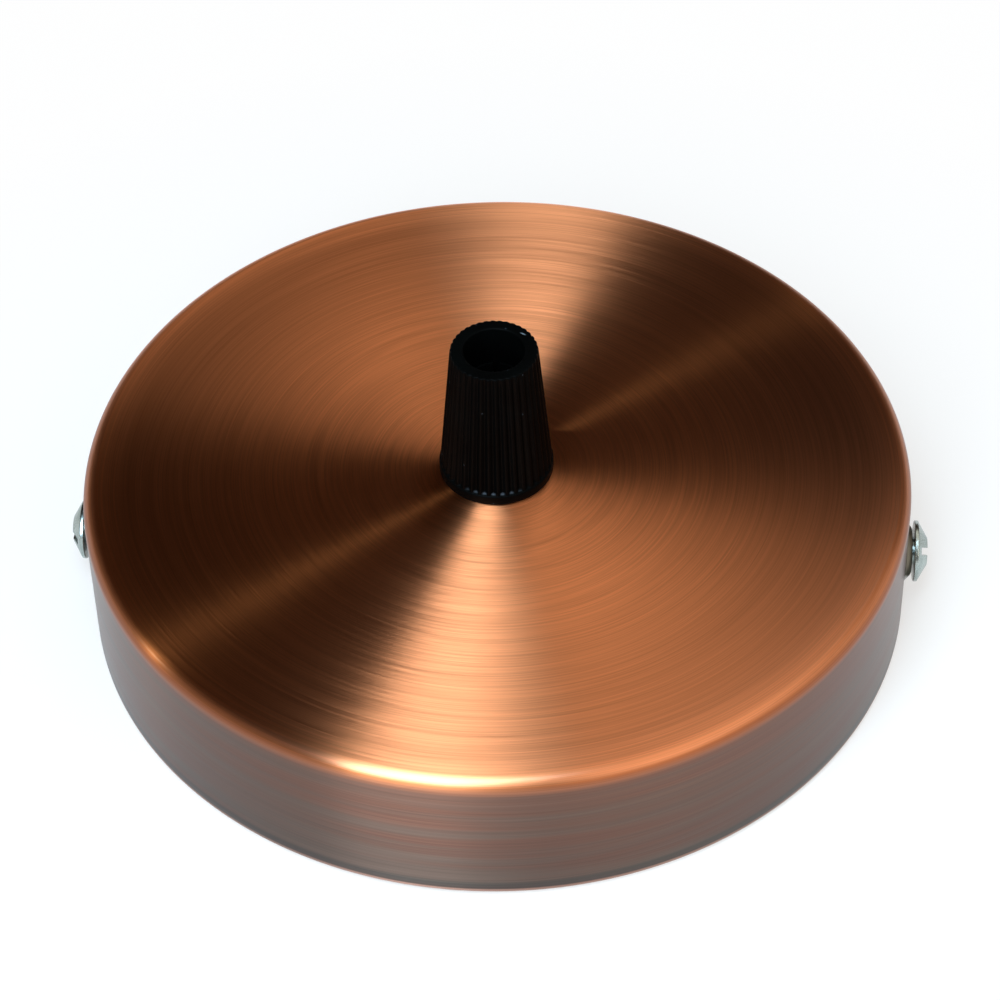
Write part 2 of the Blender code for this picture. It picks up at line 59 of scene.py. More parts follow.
# Cord grip
CAP_HEIGHT = 0.0231
CAP_BASE_RADIUS = 0.00825
CAP_TOP_RADIUS = 0.00625
CAP_MOUTH_RADIUS = 0.00435
CAP_MOUTH_DEPTH = 0.0061
CAP_CONE_LENGTH = 0.0055
CAP_COLLAR_HEIGHT = 0.0017
CAP_EDGE = 0.00025
FLUTES = 38
FLUTE_FOOT_DEPTH = 0.00045
FLUTE_TOP_DEPTH = 0.00028
FLUTE_POINTS = 14
# Above 1, the ribs are broader than the flutes between them
FLUTE_EXPONENT = 1.3
FLUTE_SHARE_AT_RIM = 0.45
FLUTE_FADE = 6 * CAP_EDGE
FLUTE_RUN_OUT = 0.0005
STEM_RADIUS = 0.005
STEM_REACH = 0.008
SHOULDER_RADIUS = 0.0063
SHOULDER_THICKNESS = 0.0020
CAP_THREAD_RADIUS = 0.0059
CLAMP_BAND = 0.0007
CLAMP_TIP_WALL = 0.0004
CLAMP_SLOTS = 4
CLAMP_SLOT_WIDTH = 0.0010
CLAMP_ROOT = 0.0018
GRIP_PITCH = 0.0010
GRIP_THREAD_DEPTH = 0.00040
STEM_SIDES = 72
CLAMP_SIDES = 84
END_CHAMFER = 0.0004

# Washer and nut
WASHER_RADIUS = 0.0088
WASHER_THICKNESS = 0.0008
WASHER_TEETH = 16
WASHER_TOOTH = 0.0016
WASHER_TOOTH_STEPS = 8
# The share of its spacing that a tooth fills, and of a tooth's length that is left between teeth
WASHER_TOOTH_SHARE = 0.56
WASHER_ROOT_STEP = 0.04
# A tooth's tip is up by this much on one side, and down on the other
WASHER_TWIST = 0.00012
NUT_FLAT = 0.007
NUT_THICKNESS = 0.0030
NUT_CORNER_DROP = 0.54
NUT_MARGIN = 0.0001
NUT_SIDES = 96

# Screws
SCREW_THREAD_RADIUS = 0.002
SCREW_PITCH = 0.0007
SCREW_THREAD_DEPTH = 0.00032
SCREW_HEAD_RADIUS = 0.0045
SCREW_HEAD_HEIGHT = 0.0020
SCREW_LENGTH = 0.010
SCREW_NECK = 0.0005
SCREW_SIDES = 64
HEAD_EDGE = 0.00042
HEAD_ROUNDING = 0.00030
HEAD_UNDER_CHAMFER = 0.0001
SLOT_WIDTH = 0.0011
SLOT_DEPTH = 0.0010
HEAD_FACE_SHARE = 0.45
HEAD_FACE_EDGE = 0.0002
# The flat face lies this much below the head's full height, as low as what the slot leaves of the
# dome in the solids
FACE_DROP = 0.00004
SLOT_TURN_RIGHT = -45.0
SLOT_TURN_LEFT = 13.0

# Crossbar and earth terminal
STRIP_ROUNDING = 0.00012
COLLAR_SIDES = 64
BAR_HOLE_SIDES = 96
PLATE_HOLE_SIDES = 48
BAR_WIDTH = 0.018
BAR_THICKNESS = 0.0015
BAR_BEND_INSIDE = 0.0012
BAR_TAB_TOP = 0.0130
BAR_TAB_CORNER = 0.004
BAR_COLLAR_WALL = 0.0011
BAR_COLLAR_HEIGHT = 0.0018
BAR_HOLE_RADIUS = 0.00525
BAR_SLOT_WIDTH = 0.0050
BAR_SLOT_LENGTH = 0.022
BAR_SLOT_FROM_END = 0.030
EARTH_FROM_END = 0.011
EARTH_HEAD_RADIUS = 0.0038
EARTH_HEAD_HEIGHT = 0.0022
EARTH_SLOT_TURN = 24.0
PLATE_SIDE = 0.0088
PLATE_THICKNESS = 0.0008
PLATE_LIP = 0.0009
PLATE_LIP_LENGTH = 0.0062
PLATE_TURN = 6.0

# Marks seen on the finish, and painted shade and highlights
# The most that the painted shade on the floor takes of the colour, along a line turned from X, and at the
# back
SIDE_PAINTED_SHADE = 0.24
SIDE_SHADE_TURN = 165.0
BACK_PAINTED_SHADE = 0.18
DIMPLE_HIGHLIGHT_FADE = 0.0002
RUBBED_SPOT = (-0.0443, -0.0394, CUP_HEIGHT)
CAP_SCUFF = (0.00390, 0.00345, CUP_HEIGHT + CAP_HEIGHT)
CAP_SCUFF_SIZE = (0.00055, 0.00014, 0.0006)
CAP_SCUFF_TURN = 150.0
SPECK_SPACING = 0.0007
SPECK_SHARE = 0.03
# Paleness of the painted highlight on the flute feet
FLUTE_FOOT_HIGHLIGHT = 0.45
PATCH_MM = 4.0

# Worked out from the values above
CUP_UNDERSIDE = CUP_HEIGHT - SHEET
RIM_TURN = RIM_TURN_INSIDE + SHEET
LIP_RADIUS = CUP_RADIUS - RIM_TURN - RIM_LIP_WIDTH
HEAD_SEAT = CUP_RADIUS + DIMPLE_HEIGHT + FIT_GAP
HOLE_RADIUS = SCREW_THREAD_RADIUS + FIT_GAP
STEM_HOLE_RADIUS = STEM_RADIUS + FIT_GAP
CAP_BASE = CUP_HEIGHT + FIT_GAP
CAP_TOP = CUP_HEIGHT + CAP_HEIGHT
COLLAR_TOP = CAP_BASE + CAP_COLLAR_HEIGHT
CAP_BORE_RADIUS = CAP_THREAD_RADIUS + FIT_GAP
CONE_TOP = CAP_TOP - CAP_MOUTH_DEPTH
CONE_FOOT = CONE_TOP - CAP_CONE_LENGTH
CONE_SLOPE = atan2(CAP_BORE_RADIUS - CAP_MOUTH_RADIUS, CAP_CONE_LENGTH)
CONE_GAP = FIT_GAP / cos(CONE_SLOPE)
CORD_BORE_RADIUS = CAP_MOUTH_RADIUS - CONE_GAP - CLAMP_TIP_WALL
CLAMP_FOOT = CONE_FOOT - CLAMP_BAND
NIPPLE_TOP = CLAMP_FOOT - FIT_GAP
SHOULDER_TOP = CAP_BASE + SHOULDER_THICKNESS
WASHER_TOP = CUP_UNDERSIDE - FIT_GAP
NUT_TOP = WASHER_TOP - WASHER_THICKNESS - FIT_GAP
BAR_REACH = sqrt((LIP_RADIUS - FIT_GAP) ** 2 - (BAR_WIDTH / 2) ** 2)
BAR_BEND = BAR_BEND_INSIDE + BAR_THICKNESS
BAR_SLOT_PLACE = BAR_REACH - BAR_SLOT_FROM_END
EARTH_PLACE = EARTH_FROM_END - BAR_REACH
EARTH_COLLAR_TOP = BAR_THICKNESS + BAR_COLLAR_HEIGHT
PLATE_FOOT = EARTH_COLLAR_TOP + FIT_GAP
EARTH_SEAT = PLATE_FOOT + PLATE_THICKNESS + FIT_GAP

# Small distances
# Points closer than this are one
SAME_POINT = 1e-6
# A cutter runs this far past what it cuts
OVERRUN = 0.002
# A limit lies this far off the face that it takes in
SKIN_MARGIN = 0.00005


# Helpers for shapes

def arc(centre, radius, start, end, steps):
    """Points on an arc in the (r, z) plane; angles in degrees from the r axis."""
    points = []
    for i in range(steps + 1):
        a = radians(start + (end - start) * i / steps)
        points.append((centre[0] + radius * cos(a), centre[1] + radius * sin(a)))
    return points


def run(start, end, step):
    """Points in a straight line from start to end, about a step apart, without the end."""
    start, end = Vector(start), Vector(end)
    count = max(1, round((end - start).length / step))
    return [tuple(start.lerp(end, i / count)) for i in range(count)]


def spun(outline, sides, closed=True):
    """Spin an outline of (r, z) points once round Z; an open outline starts on the axis."""
    bm = bmesh.new()
    verts = [bm.verts.new((r, 0, z)) for r, z in outline]
    edges = [bm.edges.new(pair) for pair in zip(verts, verts[1:])]
    if closed:
        edges.append(bm.edges.new((verts[-1], verts[0])))
    bmesh.ops.spin(
        bm,
        geom=verts + edges,
        cent=(0, 0, 0),
        axis=(0, 0, 1),
        angle=2 * pi,
        steps=sides,
        use_merge=True,
    )
    bmesh.ops.remove_doubles(bm, verts=bm.verts, dist=SAME_POINT)
    bmesh.ops.recalc_face_normals(bm, faces=bm.faces)
    return bm


def cut_thread(bm, radius, foot, top, pitch, depth):
    """Press a right-handed rolled thread into the skin of bm that lies at a radius between two heights."""
    fade = 0.8 * pitch
    # Below 1, the grooves are broader than the crests between them
    roundness = 0.8
    for v in bm.verts:
        r = sqrt(v.co.x ** 2 + v.co.y ** 2)
        if abs(r - radius) > SAME_POINT or not foot <= v.co.z <= top:
            continue
        phase = v.co.z / pitch - atan2(v.co.y, v.co.x) / (2 * pi)
        groove = (0.5 - 0.5 * cos(2 * pi * phase)) ** roundness
        groove *= min(1.0, (v.co.z - foot) / fade, (top - v.co.z) / fade)
        scale = (r - depth * groove) / r
        v.co.x *= scale
        v.co.y *= scale


def cylinder(bm, radius, foot, top, sides, matrix=Matrix.Identity(4)):
    """An upright cylinder between two heights, moved by a matrix."""
    bmesh.ops.create_cone(
        bm,
        cap_ends=True,
        segments=sides,
        radius1=radius,
        radius2=radius,
        depth=top - foot,
        matrix=matrix @ Matrix.Translation((0, 0, (foot + top) / 2)),
    )


def box(bm, size, middle, turn=0.0):
    """A box about a middle, turned round Z by an angle in radians."""
    matrix = Matrix.Rotation(turn, 4, "Z") @ Matrix.Translation(middle) @ Matrix.Diagonal((*size, 1.0))
    bmesh.ops.create_cube(bm, size=1.0, matrix=matrix)


def prism(bm, outline, foot, top):
    """An upright prism on a closed outline of (x, y) points."""
    face = bm.faces.new([bm.verts.new((x, y, foot)) for x, y in outline])
    raised = bmesh.ops.extrude_face_region(bm, geom=[face], use_keep_orig=True)["geom"]
    moved = [v for v in raised if isinstance(v, bmesh.types.BMVert)]
    bmesh.ops.translate(bm, verts=moved, vec=(0, 0, top - foot))


def round_edges(bm, edges, offset, segments):
    """Round edges of bm off, by a distance and in a number of steps."""
    bmesh.ops.bevel(
        bm,
        geom=edges,
        offset=offset,
        segments=segments,
        profile=0.5,
        affect="EDGES",
        material=-1,
    )


def sharp_edges(bm, angle=50):
    """The edges of bm where its faces turn by more than an angle in degrees."""
    return [e for e in bm.edges if len(e.link_faces) == 2 and e.calc_face_angle() > radians(angle)]


def new_object(bm, name):
    """An object in the scene whose mesh is bm, which is used up."""
    mesh = bpy.data.meshes.new(name)
    bmesh.ops.recalc_face_normals(bm, faces=bm.faces)
    bm.to_mesh(mesh)
    bm.free()
    ob = bpy.data.objects.new(name, mesh)
    bpy.context.scene.collection.objects.link(ob)
    return ob


def combined(bm, other, operation):
    """bm joined with other, or bm without it, by an exact boolean."""
    ob, guide = new_object(bm, "shape"), new_object(other, "guide")
    modifier = ob.modifiers.new(operation, "BOOLEAN")
    modifier.operation = operation
    modifier.solver = "EXACT"
    modifier.object = guide
    bpy.context.view_layer.update()
    result = bmesh.new()
    result.from_object(ob, bpy.context.evaluated_depsgraph_get())
    for used in (ob, guide):
        mesh = used.data
        bpy.data.objects.remove(used)
        bpy.data.meshes.remove(mesh)
    bmesh.ops.remove_doubles(result, verts=result.verts, dist=SAME_POINT)
    return result


def piece(bm, node, body, material, smooth=32):
    """Make bm the piece that stands for a CAD node, smooth where its faces turn by less than an angle."""
    ob = new_object(bm, node + "_skin")
    ob.data.shade_smooth()
    ob.data.set_sharp_from_angle(angle=radians(smooth))
    ob.data.materials.append(material)
    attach(ob, body)
    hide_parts(node)
    return ob


# Helpers for materials

def srgb(code):
    """A hex colour as linear values."""
    channels = [int(code[i:i + 2], 16) / 255 for i in (1, 3, 5)]
    return tuple(c / 12.92 if c <= 0.04045 else ((c + 0.055) / 1.055) ** 2.4 for c in channels) + (1.0,)


def new_material(name):
    """An empty material and its node tree."""
    mat = bpy.data.materials.new(name)
    mat.use_nodes = True
    mat.node_tree.nodes.clear()
    return mat, mat.node_tree


def node(tree, kind, inputs=None, **settings):
    """Add a node; inputs gives the value of a socket, or the output that is linked to it."""
    made = tree.nodes.new(kind)
    for name, value in settings.items():
        setattr(made, name, value)
    for name, value in (inputs or {}).items():
        if isinstance(value, bpy.types.NodeSocket):
            tree.links.new(value, made.inputs[name])
        else:
            made.inputs[name].default_value = value
    return made


def rings(tree, across, outward, spacing, arcs, detail, seed):
    """Noise in rings: spacing in mm across them, and about as many arcs as given in a radian."""
    scaled = node(tree, "ShaderNodeMath", {0: across, 1: 1.0 / spacing}, operation="MULTIPLY").outputs[0]
    along = node(tree, "ShaderNodeVectorMath", {0: outward, "Scale": arcs}, operation="SCALE").outputs[0]
    parts = node(tree, "ShaderNodeSeparateXYZ", {0: along}).outputs
    place = node(tree, "ShaderNodeCombineXYZ", {0: parts[0], 1: parts[1], 2: scaled}).outputs[0]
    return node(
        tree,
        "ShaderNodeTexNoise",
        {"Vector": place, "W": seed, "Scale": 1.0, "Detail": detail, "Roughness": 0.6},
        noise_dimensions="4D",
    ).outputs["Fac"]


def plated_colour(tree, across, bands):
    """Copper on the floor and its corner, the wall painted darker as shade, a painted shadow line above the
    foot, the rubbed foot.
    """
    wall_top = (CUP_RADIUS - CUP_HEIGHT + CUP_CORNER_INSIDE + SHEET) * 1000
    foot = CUP_RADIUS * 1000
    start = wall_top - 4.0
    down = node(
        tree, "ShaderNodeMapRange", {"Value": across, "From Min": start, "From Max": foot}
    ).outputs[0]
    colours = node(tree, "ShaderNodeValToRGB", {"Fac": down})
    stops = colours.color_ramp.elements
    stops.remove(stops[1])
    stops[0].color = srgb("#EE9664")
    # Painted shade: the wall darker than the copper above it and darker towards the foot, and a painted
    # shadow line above the foot
    for place, code in (
        (wall_top - 2.1, "#EE9664"),
        (wall_top - 1.2, "#BC6E42"),
        (wall_top - 0.3, "#B07050"),
        (wall_top + 0.6, "#7E5442"),
        (foot - 2.8, "#68473A"),
        (foot - 2.2, "#4A3A34"),
        (foot - 1.3, "#4A3A34"),
        (foot - 1.0, "#A87E6C"),
    ):
        stops.new((place - start) / (foot - start)).color = srgb(code)

    # On the wall the colour turns grey in some bands
    on_wall = node(
        tree, "ShaderNodeMapRange", {"Value": across, "From Min": wall_top, "From Max": wall_top + 0.6}
    ).outputs[0]
    greyed = node(
        tree,
        "ShaderNodeMapRange",
        {"Value": bands, "From Min": 0.42, "From Max": 0.62, "To Min": 0.0, "To Max": 0.4},
    ).outputs[0]
    greyed = node(tree, "ShaderNodeMath", {0: greyed, 1: on_wall}, operation="MULTIPLY").outputs[0]
    return node(
        tree,
        "ShaderNodeMix",
        {0: greyed, 6: colours.outputs[0], 7: srgb("#625E54")},
        data_type="RGBA",
    ).outputs[2]


def brush_tone(tree, fine, coarse):
    """How much of the colour the brush lines leave: line by line, and in broader zones."""
    lines = node(
        tree,
        "ShaderNodeMapRange",
        {"Value": fine, "From Min": 0.35, "From Max": 0.65, "To Min": 0.84, "To Max": 1.06},
    ).outputs[0]
    zones = node(
        tree,
        "ShaderNodeMapRange",
        {"Value": coarse, "From Min": 0.3, "From Max": 0.7, "To Min": 0.93, "To Max": 1.03},
    ).outputs[0]
    return node(tree, "ShaderNodeMath", {0: lines, 1: zones}, operation="MULTIPLY").outputs[0]


def floor_painted_shade(tree, radius, outward):
    """How much of the colour the painted shade on the floor leaves.

    The painted shade is deeper towards the floor's edge, most at the sides and least at the front.
    """
    floor_edge = CUP_RADIUS - CUP_CORNER_INSIDE - SHEET
    towards_back = node(tree, "ShaderNodeSeparateXYZ", {0: outward}).outputs[1]
    at_back = node(
        tree,
        "ShaderNodeMapRange",
        {"Value": towards_back, "From Min": -1.0, "From Max": 1.0, "To Min": 0.0, "To Max": BACK_PAINTED_SHADE},
    ).outputs[0]
    side_way = (cos(radians(SIDE_SHADE_TURN)), sin(radians(SIDE_SHADE_TURN)), 0)
    at_sides = node(
        tree, "ShaderNodeVectorMath", {0: outward, 1: side_way}, operation="DOT_PRODUCT"
    ).outputs["Value"]
    at_sides = node(tree, "ShaderNodeMath", {0: at_sides}, operation="ABSOLUTE").outputs[0]
    at_sides = node(tree, "ShaderNodeMath", {0: at_sides, 1: SIDE_PAINTED_SHADE}, operation="MULTIPLY").outputs[0]
    deepest = node(tree, "ShaderNodeMath", {0: at_back, 1: at_sides}, operation="ADD").outputs[0]
    begun = node(
        tree,
        "ShaderNodeMapRange",
        {"Value": radius, "From Min": floor_edge - 0.030, "From Max": floor_edge - 0.010},
    ).outputs[0]
    left_off = node(
        tree,
        "ShaderNodeMapRange",
        {
            "Value": radius,
            "From Min": floor_edge - 0.0035,
            "From Max": floor_edge,
            "To Min": 1.0,
            "To Max": 0.0,
        },
    ).outputs[0]
    deep = node(tree, "ShaderNodeMath", {0: begun, 1: left_off}, operation="MULTIPLY").outputs[0]
    deep = node(tree, "ShaderNodeMath", {0: deep, 1: deepest}, operation="MULTIPLY").outputs[0]
    return node(tree, "ShaderNodeMath", {0: 1.0, 1: deep}, operation="SUBTRACT").outputs[0]


def screw_dimple_highlight(tree, coords, radius):
    """A painted highlight: the share of pale colour round each side screw, on the outside of the wall, over
    the dimples.
    """
    from_screw = node(
        tree, "ShaderNodeVectorMath", {0: coords, 1: (0, 0, SCREW_HEIGHT)}, operation="SUBTRACT"
    ).outputs[0]
    from_screw = node(
        tree, "ShaderNodeVectorMath", {0: from_screw, 1: (0, 1, 1)}, operation="MULTIPLY"
    ).outputs[0]
    from_screw = node(
        tree, "ShaderNodeVectorMath", {0: from_screw}, operation="LENGTH"
    ).outputs["Value"]
    dimple_highlight = node(
        tree,
        "ShaderNodeMapRange",
        {
            "Value": from_screw,
            "From Min": SCREW_HEAD_RADIUS - DIMPLE_HIGHLIGHT_FADE,
            "From Max": SCREW_HEAD_RADIUS + DIMPLE_HIGHLIGHT_FADE,
            "To Min": 1.0,
            "To Max": 0.0,
        },
    ).outputs[0]
    beside_screw = node(
        tree, "ShaderNodeMath", {0: radius, 1: CUP_RADIUS - SHEET}, operation="GREATER_THAN"
    ).outputs[0]
    return node(tree, "ShaderNodeMath", {0: dimple_highlight, 1: beside_screw}, operation="MULTIPLY").outputs[0]


def inside_cup(tree, radius, height):
    """1 on the cup's inner faces, and 0 outside.

    The limits lie close to the inner faces, because the outside of the corner comes within them
    otherwise.
    """
    within = node(
        tree, "ShaderNodeMath", {0: radius, 1: CUP_RADIUS - SHEET + SKIN_MARGIN}, operation="LESS_THAN"
    ).outputs[0]
    below = node(
        tree, "ShaderNodeMath", {0: height, 1: CUP_UNDERSIDE + SKIN_MARGIN}, operation="LESS_THAN"
    ).outputs[0]
    return node(tree, "ShaderNodeMath", {0: within, 1: below}, operation="MULTIPLY").outputs[0]


def brushed_way(tree, coords, outward, strands):
    """The brush lines' direction: round the cup, wavering a little, and much in a spot rubbed across."""
    from_rub = node(
        tree, "ShaderNodeVectorMath", {0: coords, 1: RUBBED_SPOT}, operation="DISTANCE"
    ).outputs["Value"]
    waver = node(
        tree,
        "ShaderNodeMapRange",
        {"Value": from_rub, "From Min": 0.0004, "From Max": 0.0022, "To Min": 0.9, "To Max": 0.13},
    ).outputs[0]
    swing = node(tree, "ShaderNodeMath", {0: strands, 1: 0.5}, operation="SUBTRACT").outputs[0]
    waver = node(tree, "ShaderNodeMath", {0: waver, 1: swing}, operation="MULTIPLY").outputs[0]
    ring_way = node(
        tree, "ShaderNodeVectorMath", {0: (0, 0, 1), 1: outward}, operation="CROSS_PRODUCT"
    ).outputs[0]
    drift = node(tree, "ShaderNodeVectorMath", {0: outward, "Scale": waver}, operation="SCALE").outputs[0]
    return node(tree, "ShaderNodeVectorMath", {0: ring_way, 1: drift}, operation="ADD").outputs[0]


def copper_finish():
    """Steel plated with copper, brushed in circles on a lathe and lacquered.

    The brush leaves fine rings that spread the light across them, so that each lamp draws a bow tie
    through the middle. The wall and the floor's edge are painted darker as shade, the wall's foot is rubbed
    pale by handling, and a pale ring round each side screw is a painted highlight on the dimples.
    """
    mat, tree = new_material("brushed_copper_plate_painted_shade")
    coords = node(tree, "ShaderNodeTexCoord").outputs["Object"]
    height = node(tree, "ShaderNodeSeparateXYZ", {0: coords}).outputs[2]
    flat = node(tree, "ShaderNodeVectorMath", {0: coords, 1: (1, 1, 0)}, operation="MULTIPLY").outputs[0]
    radius = node(tree, "ShaderNodeVectorMath", {0: flat}, operation="LENGTH").outputs["Value"]
    outward = node(tree, "ShaderNodeVectorMath", {0: flat}, operation="NORMALIZE").outputs[0]
    # The way across the rings, from the middle over the corner and down the wall, in mm
    across = node(tree, "ShaderNodeMath", {0: radius, 1: height}, operation="SUBTRACT").outputs[0]
    across = node(tree, "ShaderNodeMath", {0: across, 1: 1000.0}, operation="MULTIPLY").outputs[0]

    # Brush lines are about 0.05 mm apart; these are drawn four times as coarse, to show
    fine = rings(tree, across, outward, 0.20, 1.6, 2.0, 1.0)
    coarse = rings(tree, across, outward, 1.4, 1.0, 3.0, 5.0)
    bands = rings(tree, across, outward, 3.2, 0.8, 2.0, 9.0)
    strands = rings(tree, across, outward, 0.30, 3.0, 2.0, 13.0)

    colour = plated_colour(tree, across, bands)
    tone = brush_tone(tree, fine, coarse)
    # Painted shade: the floor's copper darker towards its edge, most at the sides and least at the front
    left_by_shade = floor_painted_shade(tree, radius, outward)
    tone = node(tree, "ShaderNodeMath", {0: tone, 1: left_by_shade}, operation="MULTIPLY").outputs[0]
    colour = node(
        tree, "ShaderNodeMix", {0: 1.0, 6: colour, 7: tone}, data_type="RGBA", blend_type="MULTIPLY"
    ).outputs[2]
    # Painted highlight: a pale ring round each side screw brightens the dimples
    dimple_highlight = screw_dimple_highlight(tree, coords, radius)
    colour = node(
        tree, "ShaderNodeMix", {0: dimple_highlight, 6: colour, 7: srgb("#CDC6BA")}, data_type="RGBA"
    ).outputs[2]
    # Inside the cup the plating is as it came from the bath, neither brushed nor toned
    inside = inside_cup(tree, radius, height)
    colour = node(
        tree, "ShaderNodeMix", {0: inside, 6: colour, 7: srgb("#A8694A")}, data_type="RGBA"
    ).outputs[2]

    roughness = node(
        tree,
        "ShaderNodeMapRange",
        {"Value": fine, "From Min": 0.3, "From Max": 0.7, "To Min": 0.33, "To Max": 0.39},
    ).outputs[0]
    bump = node(tree, "ShaderNodeBump", {"Height": fine, "Strength": 0.25, "Distance": 0.00002}).outputs[0]
    shader = node(
        tree,
        "ShaderNodeBsdfPrincipled",
        {
            "Base Color": colour,
            "Metallic": 1.0,
            "Roughness": roughness,
            "Anisotropic": 1.0,
            "Anisotropic Rotation": 0.25,
            "Tangent": brushed_way(tree, coords, outward, strands),
            "Normal": bump,
            "Specular Tint": (0.80, 0.88, 0.93, 1.0),
            "Coat Weight": 0.48,
            "Coat Roughness": 0.2,
        },
    )
    node(tree, "ShaderNodeOutputMaterial", {"Surface": shader.outputs[0]})
    return mat


def dust_specks(tree, coords):
    """Small pale specks of dust: one in some of the cells of a random pattern."""
    cells = node(tree, "ShaderNodeTexVoronoi", {"Vector": coords, "Scale": 1.0 / SPECK_SPACING}).outputs
    chance = node(tree, "ShaderNodeSeparateColor", {0: cells["Color"]}).outputs[0]
    chosen = node(tree, "ShaderNodeMath", {0: chance, 1: SPECK_SHARE}, operation="LESS_THAN").outputs[0]
    near = node(
        tree,
        "ShaderNodeMapRange",
        {"Value": cells["Distance"], "From Min": 0.04, "From Max": 0.22, "To Min": 0.3, "To Max": 0.0},
    ).outputs[0]
    return node(tree, "ShaderNodeMath", {0: chosen, 1: near}, operation="MULTIPLY").outputs[0]


def scuff(tree, coords):
    """A pale scuff on the rim at the cap's top."""
    place = node(
        tree,
        "ShaderNodeMapping",
        {
            "Vector": coords,
            "Location": CAP_SCUFF,
            "Rotation": (0.0, 0.0, radians(CAP_SCUFF_TURN)),
            "Scale": CAP_SCUFF_SIZE,
        },
        vector_type="TEXTURE",
    ).outputs[0]
    away = node(tree, "ShaderNodeVectorMath", {0: place}, operation="LENGTH").outputs["Value"]
    return node(
        tree,
        "ShaderNodeMapRange",
        {"Value": away, "From Min": 0.5, "From Max": 1.0, "To Min": 1.0, "To Max": 0.0},
    ).outputs[0]


def flute_foot_highlight(tree, coords):
    """A painted highlight on the feet of the flutes just above the cap's collar, at the front only."""
    parts = node(tree, "ShaderNodeSeparateXYZ", {0: coords}).outputs
    flat = node(tree, "ShaderNodeCombineXYZ", {0: parts[0], 1: parts[1]}).outputs[0]
    from_axis = node(tree, "ShaderNodeVectorMath", {0: flat}, operation="LENGTH").outputs["Value"]
    in_flute = node(
        tree,
        "ShaderNodeMapRange",
        {
            "Value": from_axis,
            "From Min": CAP_BASE_RADIUS - FLUTE_FOOT_DEPTH,
            "From Max": CAP_BASE_RADIUS - CAP_EDGE,
            "To Min": FLUTE_FOOT_HIGHLIGHT,
            "To Max": 0.0,
        },
    ).outputs[0]
    at_front = node(
        tree,
        "ShaderNodeMapRange",
        {
            "Value": parts[1],
            "From Min": -0.95 * CAP_BASE_RADIUS,
            "From Max": -0.80 * CAP_BASE_RADIUS,
            "To Min": 1.0,
            "To Max": 0.0,
        },
    ).outputs[0]
    low = node(
        tree,
        "ShaderNodeMapRange",
        {
            "Value": parts[2],
            "From Min": COLLAR_TOP + 0.0001,
            "From Max": COLLAR_TOP + 0.0004,
            "To Min": 1.0,
            "To Max": 0.0,
        },
    ).outputs[0]
    above = node(
        tree, "ShaderNodeMath", {0: parts[2], 1: COLLAR_TOP - 0.0001}, operation="GREATER_THAN"
    ).outputs[0]
    foot_highlight = node(tree, "ShaderNodeMath", {0: in_flute, 1: at_front}, operation="MULTIPLY").outputs[0]
    foot_highlight = node(tree, "ShaderNodeMath", {0: foot_highlight, 1: low}, operation="MULTIPLY").outputs[0]
    return node(tree, "ShaderNodeMath", {0: foot_highlight, 1: above}, operation="MULTIPLY").outputs[0]


def cap_wear_and_highlight(tree, coords):
    """All that is pale on the black cap: dust, a scuff, and a painted highlight on the flute feet."""
    specks = dust_specks(tree, coords)
    scuffed = scuff(tree, coords)
    foot_highlight = flute_foot_highlight(tree, coords)
    pale_marks = node(tree, "ShaderNodeMath", {0: specks, 1: scuffed}, operation="MAXIMUM").outputs[0]
    return node(tree, "ShaderNodeMath", {0: pale_marks, 1: foot_highlight}, operation="MAXIMUM").outputs[0]


def plain_finish(
    name, colours, grain_mm, metallic, roughness, bump_mm, specular=0.5, wear_and_highlight_colour=None, wear_and_highlight=None
):
    """A material with two colours, a range of roughness and a fine grain.

    The function given as the last argument adds nodes for where the pale colour shows: wear, and painted
    highlights.
    """
    mat, tree = new_material(name)
    coords = node(tree, "ShaderNodeTexCoord").outputs["Object"]
    grain = node(
        tree,
        "ShaderNodeTexNoise",
        {"Vector": coords, "Scale": 1000.0 / grain_mm, "Detail": 3.0, "Roughness": 0.6},
    ).outputs["Fac"]
    patches = node(
        tree, "ShaderNodeTexNoise", {"Vector": coords, "Scale": 1000.0 / PATCH_MM, "Detail": 2.0}
    ).outputs["Fac"]
    tone = node(tree, "ShaderNodeMath", {0: grain, 1: patches}, operation="ADD").outputs[0]
    tone = node(
        tree, "ShaderNodeMapRange", {"Value": tone, "From Min": 0.75, "From Max": 1.25}
    ).outputs[0]
    colour = node(
        tree,
        "ShaderNodeMix",
        {0: tone, 6: srgb(colours[0]), 7: srgb(colours[1])},
        data_type="RGBA",
    ).outputs[2]
    # Pale marks: wear, and on the cap a painted highlight at the flute feet
    if wear_and_highlight:
        pale_marks = wear_and_highlight(tree, coords)
        colour = node(
            tree, "ShaderNodeMix", {0: pale_marks, 6: colour, 7: srgb(wear_and_highlight_colour)}, data_type="RGBA"
        ).outputs[2]
    rough = node(
        tree,
        "ShaderNodeMapRange",
        {"Value": grain, "From Min": 0.3, "From Max": 0.7, "To Min": roughness[0], "To Max": roughness[1]},
    ).outputs[0]
    bump = node(
        tree, "ShaderNodeBump", {"Height": grain, "Strength": 0.5, "Distance": bump_mm / 1000}
    ).outputs[0]
    shader = node(
        tree,
        "ShaderNodeBsdfPrincipled",
        {
            "Base Color": colour,
            "Metallic": metallic,
            "Roughness": rough,
            "Normal": bump,
            "Specular IOR Level": specular,
        },
    )
    node(tree, "ShaderNodeOutputMaterial", {"Surface": shader.outputs[0]})
    return mat


# Pieces

